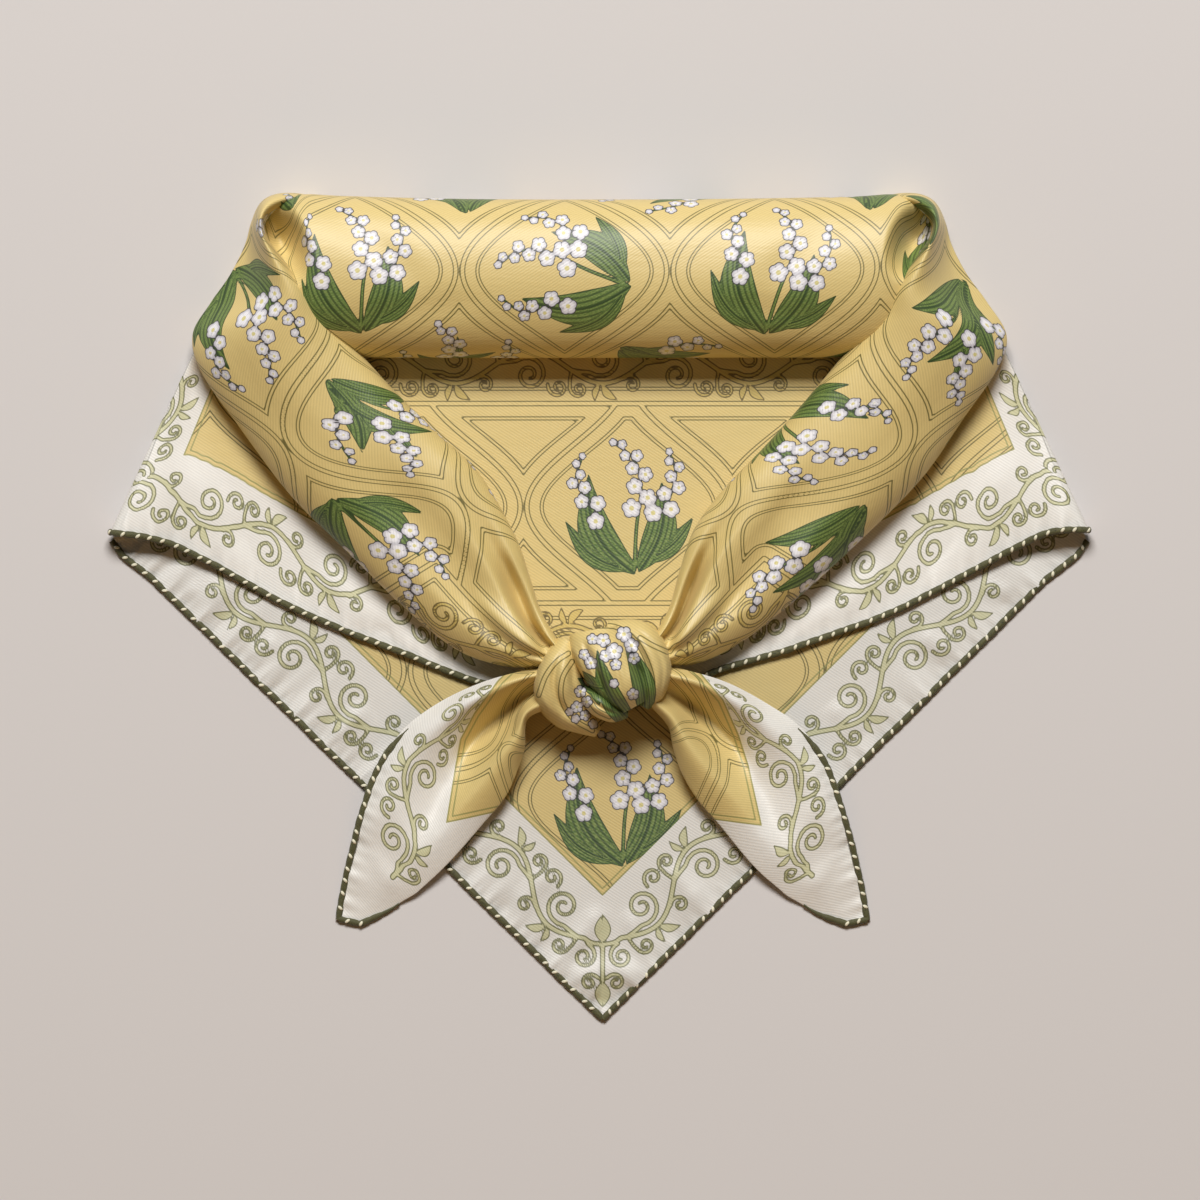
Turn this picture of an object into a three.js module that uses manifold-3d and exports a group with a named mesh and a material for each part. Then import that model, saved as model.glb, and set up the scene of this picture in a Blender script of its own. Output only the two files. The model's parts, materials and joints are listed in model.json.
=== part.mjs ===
// A silk square scarf, folded on its diagonal, rolled at the neck and knotted at the front,
// laid flat on a table and seen from above.
// Millimetres, +X to the wearer's left, +Y towards the nape, +Z up from the table.
// Each stretch of the scarf that shows is a solid of its own.

import * as THREE from 'three';
import { mergeVertices } from 'three/addons/utils/BufferGeometryUtils.js';
import Module from 'manifold-3d';

const wasm = await Module();
wasm.setup();

// Driving dimensions
const CLOTH = 1.2;            // wall of one layer, with its loft
const SEAM = 0.35;            // gap left between stretches that touch
const HEM_WIDTH = 3.6;        // rolled hem, seen from above
const HEM_HEIGHT = 2.8;
const TIP_X = 207;            // side tips of the folded triangle
const TIP_Y = 29;
const POINT_X = 1.3;          // lower point of the under layer
const POINT_Y = -174.6;
const NECK_TOP_Y = 118;       // where the layers pass under the roll
const FOLD_TOP_X = 167;       // side folds at that height
const BEND_AT_TIP = 4.2;      // radius of the side folds
const BEND_AT_TOP = 0.9;
const ON_PANELS = 3.2;        // underside of what lies on both layers

// Colours of the cloth
const GOLD = 0xd2b877;
const CREAM = 0xe6e2d8;
const OLIVE = 0x585c3c;

// Under layer's edge from a side tip to the lower point, mirrored for the right side
const UNDER_EDGE = [
  { x: -206.5, y: 28 }, { x: -202, y: 21.5 }, { x: -189, y: 11.5 }, { x: POINT_X, y: POINT_Y },
];

// Upper layer's hem from the left tip to the right tip
const UPPER_HEM = [
  { x: -207, y: 31 }, { x: -185, y: 27.5 }, { x: -167, y: 19.5 }, { x: -126, y: -2.5 },
  { x: -84, y: -19.5 }, { x: -51, y: -32 }, { x: 0, y: -45 }, { x: 51, y: -27 },
  { x: 84, y: -17 }, { x: 126, y: -1.5 }, { x: 168, y: 20.5 }, { x: 190, y: 31 }, { x: 207, y: 32 },
];

// Roll at the nape, a row for each section along X: back and front edges, and crest height
const ROLL_SECTIONS = [
  { x: -142, back: 166, front: 138, crest: 26 },
  { x: -136, back: 172.2, front: 119, crest: 33 },
  { x: -124, back: 174.2, front: 109.5, crest: 36.5 },
  { x: -105, back: 173.4, front: 106, crest: 37.5 },
  { x: -55, back: 172.2, front: 105.5, crest: 38 },
  { x: 0, back: 172, front: 105.5, crest: 37.5 },
  { x: 55, back: 172.3, front: 105.6, crest: 38 },
  { x: 105, back: 173.2, front: 106, crest: 37.5 },
  { x: 122, back: 174.2, front: 109.5, crest: 36.5 },
  { x: 134, back: 172.8, front: 119, crest: 33 },
  { x: 140, back: 166, front: 138, crest: 26 },
];

// Pockets where the roll turns into the arms
const POCKETS = [
  { x: -133.6, y: 155, across: 12.5, along: 23, depth: 25, lean: 0.4 },
  { x: 132.6, y: 156, across: 12.5, along: 22, depth: 25, lean: -0.4 },
];

// Arms, a row for each section: outer and inner edge, underside, crest height,
// and crest place from outer (0) to inner (1)
const ARM_LEFT = [
  { ox: -116, oy: 173.6, ix: -116.5, iy: 171.6, low: 0, crest: 12, at: 0.5 },
  { ox: -128, oy: 174.9, ix: -127.6, iy: 169.9, low: 0, crest: 20, at: 0.5 },
  { ox: -136.8, oy: 174.2, ix: -134.4, iy: 167.6, low: 0, crest: 27, at: 0.55 },
  { ox: -142.8, oy: 170.4, ix: -138.6, iy: 164.4, low: 0, crest: 31.5, at: 0.62 },
  { ox: -146.4, oy: 162.5, ix: -140.2, iy: 160.2, low: 0, crest: 34.5, at: 0.75 },
  { ox: -149.2, oy: 152.5, ix: -138, iy: 153.6, low: 0, crest: 37, at: 0.84 },
  { ox: -155.5, oy: 140, ix: -130.6, iy: 144.6, low: 0, crest: 38.5, at: 0.84 },
  { ox: -163.5, oy: 128.5, ix: -121, iy: 133.2, low: 0, crest: 38.5, at: 0.8 },
  { ox: -171, oy: 115, ix: -111.5, iy: 121.5, low: 1, crest: 37, at: 0.72 },
  { ox: -167, oy: 99, ix: -98.6, iy: 105.6, low: ON_PANELS, crest: 34, at: 0.64 },
  { ox: -151, oy: 76, ix: -84, iy: 89.5, low: ON_PANELS, crest: 31, at: 0.6 },
  { ox: -130, oy: 48, ix: -67, iy: 73, low: ON_PANELS, crest: 28.5, at: 0.57 },
  { ox: -107, oy: 25, ix: -50.5, iy: 57, low: ON_PANELS, crest: 26.5, at: 0.56 },
  { ox: -82, oy: 0.5, ix: -35.5, iy: 31, low: ON_PANELS, crest: 25, at: 0.55 },
  { ox: -61, oy: -16.5, ix: -29.3, iy: 13.5, low: ON_PANELS, crest: 25, at: 0.55 },
  { ox: -42, oy: -23.6, ix: -24.5, iy: -1, low: 4, crest: 26.5, at: 0.52 },
  { ox: -23, oy: -25, ix: -17, iy: -14, low: 7, crest: 28, at: 0.5 },
];
const ARM_RIGHT = [
  { ox: 116, oy: 173.6, ix: 116.5, iy: 171.6, low: 0, crest: 12, at: 0.5 },
  { ox: 127, oy: 174.9, ix: 126.6, iy: 169.9, low: 0, crest: 20, at: 0.5 },
  { ox: 135.6, oy: 174.2, ix: 133.2, iy: 167.6, low: 0, crest: 27, at: 0.55 },
  { ox: 141.6, oy: 170.4, ix: 137.4, iy: 164.4, low: 0, crest: 31.5, at: 0.62 },
  { ox: 145.4, oy: 162.5, ix: 139.4, iy: 160.4, low: 0, crest: 34.5, at: 0.75 },
  { ox: 148, oy: 153, ix: 137.4, iy: 154.2, low: 0, crest: 37, at: 0.84 },
  { ox: 154.4, oy: 140.6, ix: 130.6, iy: 145, low: 0, crest: 38.5, at: 0.84 },
  { ox: 162.8, oy: 129, ix: 121.8, iy: 133.8, low: 0, crest: 38.5, at: 0.8 },
  { ox: 171, oy: 115, ix: 114.4, iy: 122.3, low: 1, crest: 37, at: 0.72 },
  { ox: 167.2, oy: 101, ix: 102.4, iy: 106.8, low: ON_PANELS, crest: 34, at: 0.64 },
  { ox: 153.6, oy: 81, ix: 86.4, iy: 87.5, low: ON_PANELS, crest: 31, at: 0.6 },
  { ox: 134.6, oy: 54, ix: 69.5, iy: 68.5, low: ON_PANELS, crest: 28.5, at: 0.57 },
  { ox: 105.4, oy: 24.8, ix: 52.8, iy: 51.2, low: ON_PANELS, crest: 26.5, at: 0.56 },
  { ox: 82, oy: 3.6, ix: 40.2, iy: 34.4, low: ON_PANELS, crest: 25, at: 0.55 },
  { ox: 61, oy: -13, ix: 33.9, iy: 17.2, low: ON_PANELS, crest: 25, at: 0.55 },
  { ox: 42.2, oy: -22.5, ix: 29.4, iy: 1, low: 4, crest: 26.5, at: 0.52 },
  { ox: 25, oy: -24, ix: 22, iy: -13, low: 7, crest: 28, at: 0.5 },
];

// Creases that run down an arm into the knot: where each begins along the arm, its place
// across the arm there and at the knot, half width as a share of the arm, and depth
const ARM_CREASES = [
  { begin: 0.72, from: 0.86, to: 0.72, half: 0.12, depth: 10 },
  { begin: 0.62, from: 0.42, to: 0.34, half: 0.16, depth: 3 },
];

// Tails, a row for each section from the knot to the end: plan of the outer edge and the
// inner edge, and heights of the edge, outer ridge, valley, inner ridge and inner edge
const TAIL_LEFT = [
  { ox: -16, oy: -22, ix: -20, iy: -42, edge: 17, ridge: 24, valley: 20, lobe: 24, inner: 15 },
  { ox: -33, oy: -26, ix: -30, iy: -47, edge: 14, ridge: 21, valley: 10, lobe: 21, inner: 12 },
  { ox: -50, oy: -31, ix: -31, iy: -59, edge: 10.5, ridge: 18, valley: 5.5, lobe: 19.5, inner: 9 },
  { ox: -67, oy: -39, ix: -33.5, iy: -67, edge: 7.5, ridge: 15, valley: 4.4, lobe: 17.5, inner: 7 },
  { ox: -82, oy: -50, ix: -39, iy: -79, edge: 6, ridge: 12, valley: 4.8, lobe: 14.5, inner: 6 },
  { ox: -93.5, oy: -64.5, ix: -48.5, iy: -90.5, edge: 5, ridge: 10, valley: 6.2, lobe: 11.5, inner: 5.5 },
  { ox: -101, oy: -84.5, ix: -62, iy: -106, edge: 5, ridge: 8, valley: 7, lobe: 8.4, inner: 5 },
  { ox: -105.5, oy: -101, ix: -73.5, iy: -117, edge: 3.4, ridge: 5, valley: 5.4, lobe: 5.2, inner: 3.2 },
  { ox: -109, oy: -117, ix: -86.5, iy: -127, edge: 1.1, ridge: 2.2, valley: 2.4, lobe: 1.9, inner: 0.9 },
  { ox: -111.4, oy: -131.5, ix: -100.5, iy: -133.5, edge: 0.6, ridge: 0.6, valley: 0.6, lobe: 0.6, inner: 0.6 },
];
const TAIL_RIGHT = [
  { ox: 20, oy: -22, ix: 22, iy: -42, edge: 17, ridge: 24, valley: 20, lobe: 24, inner: 15 },
  { ox: 38, oy: -26, ix: 28.5, iy: -50, edge: 14, ridge: 21, valley: 10, lobe: 21, inner: 12 },
  { ox: 54, oy: -31, ix: 30.5, iy: -59, edge: 10.5, ridge: 18, valley: 5.5, lobe: 19.5, inner: 9 },
  { ox: 70, oy: -39.5, ix: 34, iy: -69, edge: 7.5, ridge: 15, valley: 4.4, lobe: 17.5, inner: 7 },
  { ox: 85, oy: -50, ix: 40.5, iy: -80, edge: 6, ridge: 12, valley: 4.8, lobe: 14.5, inner: 6 },
  { ox: 96.5, oy: -65, ix: 50, iy: -91, edge: 5, ridge: 10, valley: 6.2, lobe: 11.5, inner: 5.5 },
  { ox: 104, oy: -86, ix: 64, iy: -108, edge: 5, ridge: 8, valley: 7, lobe: 8.4, inner: 5 },
  { ox: 108.5, oy: -103, ix: 75, iy: -118, edge: 3.4, ridge: 5, valley: 5.4, lobe: 5.2, inner: 3.2 },
  { ox: 112, oy: -118, ix: 88, iy: -127.5, edge: 1.1, ridge: 2.2, valley: 2.4, lobe: 1.9, inner: 0.9 },
  { ox: 114.4, oy: -131.5, ix: 104, iy: -133.4, edge: 0.6, ridge: 0.6, valley: 0.6, lobe: 0.6, inner: 0.6 },
];
const TAIL_RIDGE = 0.2;       // places of the folds between the outer and inner edge
const TAIL_VALLEY = [0.72, 0.56];   // at the knot, and from halfway down
const TAIL_LOBE = [0.87, 0.78];
const TAIL_TUCK = 4.5;        // how far the inner edge turns under

// Turns of the knot, a row for each section: centre, half width, and lowest and highest point
const KNOT_FRONT = [
  { x: -2, y: -8.5, half: 10.5, low: 12, high: 32 },
  { x: -0.5, y: -16, half: 11.8, low: 8, high: 38.5 },
  { x: 5.2, y: -26.5, half: 11, low: 7, high: 41 },
  { x: 11.4, y: -35, half: 9.8, low: 8, high: 38 },
  { x: 14.6, y: -41, half: 6.5, low: 12, high: 30 },
];
const KNOT_LOWER = [
  { x: -7.5, y: -34, half: 2.6, low: 12, high: 27 },
  { x: -0.8, y: -38.8, half: 5.6, low: 9, high: 33 },
  { x: 5.5, y: -43, half: 4.6, low: 8, high: 31 },
  { x: 12, y: -43.4, half: 2.2, low: 10, high: 24 },
];
const KNOT_LEFT = [
  { x: -13.5, y: -13, half: 4, low: 8, high: 24 },
  { x: -16.4, y: -23, half: 8.2, low: 5, high: 32 },
  { x: -16.6, y: -34, half: 11, low: 4, high: 34 },
  { x: -12.4, y: -42, half: 9.6, low: 4, high: 31 },
  { x: -6.5, y: -47.6, half: 5.6, low: 5, high: 26 },
  { x: -0.6, y: -52, half: 2.2, low: 7, high: 17 },
];
const KNOT_TOP = [
  { x: 3, y: -7, half: 2.5, low: 10, high: 24 },
  { x: 16, y: -13, half: 8.4, low: 5, high: 33 },
  { x: 22.3, y: -23.5, half: 7.8, low: 4, high: 34 },
  { x: 22, y: -34, half: 5.8, low: 5, high: 31 },
  { x: 18.2, y: -41, half: 2.6, low: 8, high: 22 },
];

// Small maths

function mix(a, b, t) {
  return a + (b - a) * t;
}

function smooth(t) {
  const clamped = Math.min(1, Math.max(0, t));
  return clamped * clamped * (3 - 2 * clamped);
}

// Catmull-Rom value of one column of a table, at t from 0 to 1 along its rows
function along(rows, column, t) {
  const place = Math.min(0.99999, Math.max(0, t)) * (rows.length - 1);
  const i = Math.floor(place);
  const f = place - i;
  const b = rows[i][column];
  const c = rows[i + 1][column];
  const a = i > 0 ? rows[i - 1][column] : 2 * b - c;
  const d = i + 2 < rows.length ? rows[i + 2][column] : 2 * c - b;
  return b + 0.5 * f * (c - a + f * (2 * a - 5 * b + 4 * c - d + f * (3 * (b - c) + d - a)));
}

// Closed solids

function geometryOf(points, faces) {
  const geometry = new THREE.BufferGeometry();
  geometry.setAttribute('position', new THREE.Float32BufferAttribute(points.flat(), 3));
  geometry.setIndex(faces.flat());
  return geometry;
}

function solidOf(geometry) {
  const bare = geometry.clone();
  bare.deleteAttribute('normal');
  bare.deleteAttribute('uv');
  const merged = mergeVertices(bare, 1e-4);
  return new wasm.Manifold(new wasm.Mesh({
    numProp: 3,
    vertProperties: new Float32Array(merged.attributes.position.array),
    triVerts: new Uint32Array(merged.index.array),
  }));
}

// The largest body that is left of a solid once its neighbours are cut from it
function without(solid, neighbours) {
  let rest = solid;
  for (const other of neighbours) {
    rest = rest.subtract(other);
  }
  const bodies = rest.decompose();
  bodies.sort((a, b) => b.volume() - a.volume());
  return bodies[0];
}

function meshOf(name, solid, colour) {
  const raw = solid.getMesh();
  const geometry = new THREE.BufferGeometry();
  geometry.setAttribute('position', new THREE.BufferAttribute(raw.vertProperties, 3));
  geometry.setIndex(new THREE.BufferAttribute(raw.triVerts, 1));
  const flat = geometry.toNonIndexed();
  flat.computeVertexNormals();
  const material = new THREE.MeshStandardMaterial({ color: colour, roughness: 0.55, metalness: 0 });
  const mesh = new THREE.Mesh(flat, material);
  mesh.name = name;
  return mesh;
}

// Rings of equal length joined into a closed body, with a fan over each end
function loft(rings) {
  const count = rings[0].length;
  const points = rings.flat();
  const faces = [];
  for (let r = 0; r + 1 < rings.length; r += 1) {
    for (let i = 0; i < count; i += 1) {
      const next = (i + 1) % count;
      const a = r * count + i;
      const b = r * count + next;
      faces.push([a, b, b + count], [a, b + count, a + count]);
    }
  }
  const middle = (ring) => [0, 1, 2].map((k) => ring.reduce((sum, p) => sum + p[k], 0) / count);
  const first = points.push(middle(rings[0])) - 1;
  const last = points.push(middle(rings[rings.length - 1])) - 1;
  const end = (rings.length - 1) * count;
  for (let i = 0; i < count; i += 1) {
    const next = (i + 1) % count;
    faces.push([first, next, i], [last, end + i, end + next]);
  }
  return outward(geometryOf(points, faces));
}

// Turns the faces round where a body comes out inside out
function outward(geometry) {
  const p = geometry.attributes.position;
  const index = geometry.index.array;
  const a = new THREE.Vector3();
  const b = new THREE.Vector3();
  const c = new THREE.Vector3();
  let volume = 0;
  for (let i = 0; i < index.length; i += 3) {
    a.fromBufferAttribute(p, index[i]);
    b.fromBufferAttribute(p, index[i + 1]);
    c.fromBufferAttribute(p, index[i + 2]);
    volume += a.dot(b.cross(c));
  }
  if (volume < 0) {
    for (let i = 0; i < index.length; i += 3) {
      [index[i], index[i + 1]] = [index[i + 1], index[i]];
    }
  }
  return geometry;
}

// A wall of the given thickness about a grid of points, never below the table
function wall(grid, thickness) {
  const rows = grid.length;
  const columns = grid[0].length;
  const at = (r, c) => new THREE.Vector3(...grid[r][c]);
  const upper = [];
  const lower = [];
  for (let r = 0; r < rows; r += 1) {
    for (let c = 0; c < columns; c += 1) {
      const down = at(Math.min(r + 1, rows - 1), c).sub(at(Math.max(r - 1, 0), c));
      const across = at(r, Math.min(c + 1, columns - 1)).sub(at(r, Math.max(c - 1, 0)));
      const normal = across.cross(down).normalize().multiplyScalar(thickness / 2);
      const above = at(r, c).add(normal);
      const below = at(r, c).sub(normal);
      upper.push([above.x, above.y, Math.max(0, above.z)]);
      lower.push([below.x, below.y, Math.max(0, below.z)]);
    }
  }
  const shift = rows * columns;
  const faces = [];
  for (let r = 0; r + 1 < rows; r += 1) {
    for (let c = 0; c + 1 < columns; c += 1) {
      const i = r * columns + c;
      const j = i + columns;
      faces.push([i, j, j + 1], [i, j + 1, i + 1]);
      faces.push([i + shift, j + 1 + shift, j + shift], [i + shift, i + 1 + shift, j + 1 + shift]);
    }
  }
  const rim = [];
  for (let c = 0; c < columns; c += 1) rim.push(c);
  for (let r = 1; r < rows; r += 1) rim.push(r * columns + columns - 1);
  for (let c = columns - 2; c >= 0; c -= 1) rim.push((rows - 1) * columns + c);
  for (let r = rows - 2; r > 0; r -= 1) rim.push(r * columns);
  rim.forEach((i, k) => {
    const j = rim[(k + 1) % rim.length];
    faces.push([i, j, j + shift], [i, j + shift, i + shift]);
  });
  return outward(geometryOf([...upper, ...lower], faces));
}

// Rounded section over a flat base, from an outer to an inner point
const SECTION_POINTS = 24;
const SECTION_POWER = 0.97;
const WIDEST_AT = 0.3;        // height of the widest place, as a share of the section
const BASE_SINK = 0.3;        // share by which the base is flattened

function roundedRing(outer, inner, low, high, crestAt, bump) {
  const ring = [];
  const lean = Math.log(crestAt) / Math.log(0.5);
  const middle = mix(low, high, WIDEST_AT);
  for (let i = 0; i < SECTION_POINTS; i += 1) {
    const angle = (2 * Math.PI * i) / SECTION_POINTS;
    const c = Math.cos(angle);
    const s = Math.sin(angle);
    const even = 0.5 - 0.5 * Math.sign(c) * Math.abs(c) ** SECTION_POWER;
    const place = s > 0 ? even ** lean : even;
    const lift = Math.abs(s) ** SECTION_POWER;
    const x = mix(outer[0], inner[0], place);
    const y = mix(outer[1], inner[1], place);
    const above = mix(middle, high, lift) - bump(place, x, y) * lift;
    const below = mix(middle, low, lift * (1 + BASE_SINK));
    ring.push([x, y, Math.max(low, s > 0 ? above : below)]);
  }
  return ring;
}

// Roll at the nape

const ROLL_STEPS = 26;
const ROLL_CREST = 0.46;

function pocketDepth(x, y) {
  let depth = 0;
  for (const pocket of POCKETS) {
    const dx = x - pocket.x;
    const dy = y - pocket.y;
    const u = (dx * Math.cos(pocket.lean) + dy * Math.sin(pocket.lean)) / pocket.across;
    const v = (dy * Math.cos(pocket.lean) - dx * Math.sin(pocket.lean)) / pocket.along;
    depth += pocket.depth * (1 - smooth(Math.hypot(u, v)));
  }
  return depth;
}

function rollRings(extra) {
  const rings = [];
  for (let i = 0; i <= ROLL_STEPS; i += 1) {
    const t = i / ROLL_STEPS;
    const x = along(ROLL_SECTIONS, 'x', t);
    const back = [x, along(ROLL_SECTIONS, 'back', t) + extra];
    const front = [x, along(ROLL_SECTIONS, 'front', t) - extra];
    const high = along(ROLL_SECTIONS, 'crest', t) + extra;
    rings.push(roundedRing(back, front, -extra, high, ROLL_CREST,
      (place, px, py) => pocketDepth(px, py)));
  }
  return rings;
}

// Arms

const ARM_STEPS = 32;

function creaseDepth(place, t) {
  let depth = 0;
  for (const crease of ARM_CREASES) {
    const run = Math.max(0, (t - crease.begin) / (1 - crease.begin));
    const centre = mix(crease.from, crease.to, run);
    const across = Math.abs(place - centre) / crease.half;
    depth += crease.depth * smooth(run * 1.6) * (1 - smooth(across));
  }
  return depth;
}

function armRings(table, extra) {
  const rings = [];
  for (let i = 0; i <= ARM_STEPS; i += 1) {
    const t = i / ARM_STEPS;
    const get = (column) => along(table, column, t);
    const outer = new THREE.Vector2(get('ox'), get('oy'));
    const inner = new THREE.Vector2(get('ix'), get('iy'));
    const side = inner.clone().sub(outer).normalize().multiplyScalar(extra);
    outer.sub(side);
    inner.add(side);
    const low = Math.max(0, get('low')) - extra;
    rings.push(roundedRing([outer.x, outer.y], [inner.x, inner.y], low, get('crest') + extra,
      get('at'), (place) => creaseDepth(place, t)));
  }
  return rings;
}

// Turns of the knot

const KNOT_STEPS = 12;
const KNOT_POINTS = 16;

function knotRings(table, extra) {
  const rings = [];
  const nudge = 0.02;
  for (let i = 0; i <= KNOT_STEPS; i += 1) {
    const t = i / KNOT_STEPS;
    const ahead = Math.min(1, t + nudge);
    const behind = Math.max(0, t - nudge);
    const dx = along(table, 'x', ahead) - along(table, 'x', behind);
    const dy = along(table, 'y', ahead) - along(table, 'y', behind);
    const length = Math.hypot(dx, dy);
    const end = mix(-extra, extra, t);
    const x = along(table, 'x', t) + (dx / length) * end;
    const y = along(table, 'y', t) + (dy / length) * end;
    const half = along(table, 'half', t) + extra;
    const low = along(table, 'low', t) - extra;
    const high = along(table, 'high', t) + extra;
    const ring = [];
    for (let k = 0; k < KNOT_POINTS; k += 1) {
      const angle = (2 * Math.PI * k) / KNOT_POINTS;
      const c = Math.cos(angle);
      const across = half * Math.sign(c) * Math.abs(c) ** SECTION_POWER;
      const lift = 0.5 + 0.5 * Math.sin(angle);
      ring.push([x - (dy / length) * across, y + (dx / length) * across, mix(low, high, lift)]);
    }
    rings.push(ring);
  }
  return rings;
}

// Tails

const TAIL_STEPS = 20;
const TAIL_COLUMNS = 13;
const TAIL_HEM_FROM = 0.42;   // where the hem comes out from under the outer edge
const TAIL_HEM_FULL = 0.58;
const TAIL_END_HEM_TO = 0.86; // where the end hem turns under the inner edge

// Plan and heights of a tail's section at t, with the outer and inner edges moved in
function tailSection(table, t, outerInset, innerInset) {
  const get = (column) => along(table, column, t);
  const outer = new THREE.Vector2(get('ox'), get('oy'));
  const inner = new THREE.Vector2(get('ix'), get('iy'));
  const width = outer.distanceTo(inner);
  const tuck = (TAIL_TUCK * (1 - smooth((t - 0.75) * 6))) / width;
  const under = Math.max(CLOTH / 2, mix(get('lobe'), get('inner'), 1.1));
  const run = smooth(t * 2);
  const profile = [
    { place: outerInset / width, z: get('edge') },
    { place: TAIL_RIDGE, z: get('ridge') },
    { place: mix(...TAIL_VALLEY, run), z: get('valley') },
    { place: mix(...TAIL_LOBE, run), z: get('lobe') },
    { place: 1 - tuck * 0.15 - innerInset / width, z: mix(get('lobe'), get('inner'), 0.7) },
    { place: 1 - tuck - 1.2 * innerInset / width, z: under },
  ];
  return { outer, inner, profile };
}

function tailPoint(section, s) {
  const place = along(section.profile, 'place', s);
  const x = mix(section.outer.x, section.inner.x, place);
  const y = mix(section.outer.y, section.inner.y, place);
  return [x, y, along(section.profile, 'z', s)];
}

function tailGrid(table) {
  const edge = HEM_WIDTH / 2;
  const length = Math.hypot(table[0].ox - table[9].ox, table[0].oy - table[9].oy);
  const grid = [];
  for (let i = 0; i <= TAIL_STEPS; i += 1) {
    const t = (i / TAIL_STEPS) * (1 - edge / length);
    const outerInset = edge * smooth((t - TAIL_HEM_FROM) / (TAIL_HEM_FULL - TAIL_HEM_FROM));
    const innerInset = edge * smooth((t - TAIL_END_HEM_TO + 0.06) / 0.06);
    const section = tailSection(table, t, outerInset, innerInset);
    const row = [];
    for (let k = 0; k < TAIL_COLUMNS; k += 1) {
      row.push(tailPoint(section, k / (TAIL_COLUMNS - 1)));
    }
    grid.push(row);
  }
  return grid;
}

// Rolled hem of a tail: down its outer edge, and across its end to the inner edge
function tailHemPaths(table) {
  const half = HEM_WIDTH / 2;
  const lift = (HEM_HEIGHT - CLOTH) / 2;
  const down = [];
  for (let i = 0; i <= 14; i += 1) {
    const t = mix(TAIL_HEM_FROM + 0.03, 0.992, i / 14);
    const section = tailSection(table, t, half, half);
    const [x, y, z] = tailPoint(section, 0);
    down.push([x, y, Math.max(HEM_HEIGHT / 2, z + lift)]);
  }
  const across = [];
  const last = tailSection(table, 0.99, half, half);
  for (let i = 1; i <= 4; i += 1) {
    const [x, y, z] = tailPoint(last, (i / 4) * 0.8);
    across.push([x, y, Math.max(HEM_HEIGHT / 2, z + lift)]);
  }
  for (let i = 0; i <= 3; i += 1) {
    const t = mix(0.975, TAIL_END_HEM_TO, i / 3);
    const [x, y, z] = tailPoint(tailSection(table, t, half, half), 0.8);
    across.push([x, y, Math.max(HEM_HEIGHT / 2, z + lift * 0.5)]);
  }
  return { down, across };
}

// Upper layer: from the left fold over the wings and the neck panel to the right fold

const PANEL_ROWS = 9;
const BEND_STEPS = 5;
const INWARD = [4, 10, 20, 34, 52, 74, 100, 130, 164];   // columns inward from a bend
const PANEL_MIDDLE = CLOTH * 1.5 + SEAM;                 // height of its middle where it rests

// Value of the hem's table at x
function hemAt(x) {
  const after = Math.max(1, UPPER_HEM.findIndex((row) => row.x > x));
  const last = after > 0 && x < TIP_X ? after : UPPER_HEM.length - 1;
  const before = UPPER_HEM[last - 1];
  const f = (x - before.x) / (UPPER_HEM[last].x - before.x);
  return along(UPPER_HEM, 'y', (last - 1 + f) / (UPPER_HEM.length - 1));
}

// Plan of a point at a distance in from one of the side folds, with v from the hem (0),
// moved in by inset, to the roll (1)
function panelPoint(v, distance, side, inset) {
  const s = 1 - distance / TIP_X;
  const hem = new THREE.Vector2(side * TIP_X * s, hemAt(side * TIP_X * s));
  const top = new THREE.Vector2(side * FOLD_TOP_X * s, NECK_TOP_Y);
  const down = hem.clone().sub(top);
  const length = down.length();
  const p = top.add(down.multiplyScalar((1 - v) * (1 - inset / length)));
  return [p.x, p.y];
}

// Half a row of the layer, from the underside of a side fold to the middle
function panelRow(v, side, inset) {
  const radius = mix(BEND_AT_TIP, BEND_AT_TOP, smooth(v * 1.4));
  const reach = mix(70, 12, smooth(v * 1.3));
  const row = [];
  for (let i = 0; i <= BEND_STEPS; i += 1) {
    const angle = mix(-Math.PI / 2, Math.PI / 2, i / BEND_STEPS);
    const distance = radius * (1 - Math.cos(angle)) + CLOTH / 2;
    const z = PANEL_MIDDLE + radius * (1 + Math.sin(angle));
    row.push([...panelPoint(v, distance, side, inset), z]);
  }
  for (const inward of INWARD) {
    const fall = 1 - smooth(inward / reach);
    row.push([...panelPoint(v, radius + inward, side, inset), PANEL_MIDDLE + 2 * radius * fall ** 2]);
  }
  row.push([...panelPoint(v, TIP_X, side, inset), PANEL_MIDDLE]);
  return row;
}

function panelGrid() {
  const grid = [];
  for (let i = 0; i <= PANEL_ROWS; i += 1) {
    const v = i / PANEL_ROWS;
    const left = panelRow(v, -1, HEM_WIDTH / 2);
    const right = panelRow(v, 1, HEM_WIDTH / 2).reverse().slice(1);
    grid.push([...left, ...right]);
  }
  return grid;
}

// Hem of the upper layer on one side: round the fold and along to the middle
function upperHemPath(side) {
  return panelRow(0, side, HEM_WIDTH / 2).map(([x, y, z], i) => {
    const rise = smooth((i - 1) / BEND_STEPS) * (HEM_HEIGHT - CLOTH) / 2;
    return [x, y, z + rise];
  });
}

// Under layer: a flat panel inside its hems

// An edge moved in by a distance, towards the right of its direction
function movedIn(edge, distance) {
  return edge.map((point, i) => {
    const a = edge[Math.max(0, i - 1)];
    const b = edge[Math.min(edge.length - 1, i + 1)];
    const length = Math.hypot(b.x - a.x, b.y - a.y);
    return { x: point.x - ((b.y - a.y) / length) * distance, y: point.y + ((b.x - a.x) / length) * distance };
  });
}

// The edge of one side (-1 left, 1 right), moved in, with its last point under the corner
function underEdge(side, distance) {
  const edge = movedIn(UNDER_EDGE, distance).map(({ x, y }) => ({ x: -side * x, y }));
  edge[edge.length - 1] = { x: POINT_X, y: POINT_Y + distance * Math.SQRT2 };
  return edge;
}

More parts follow.
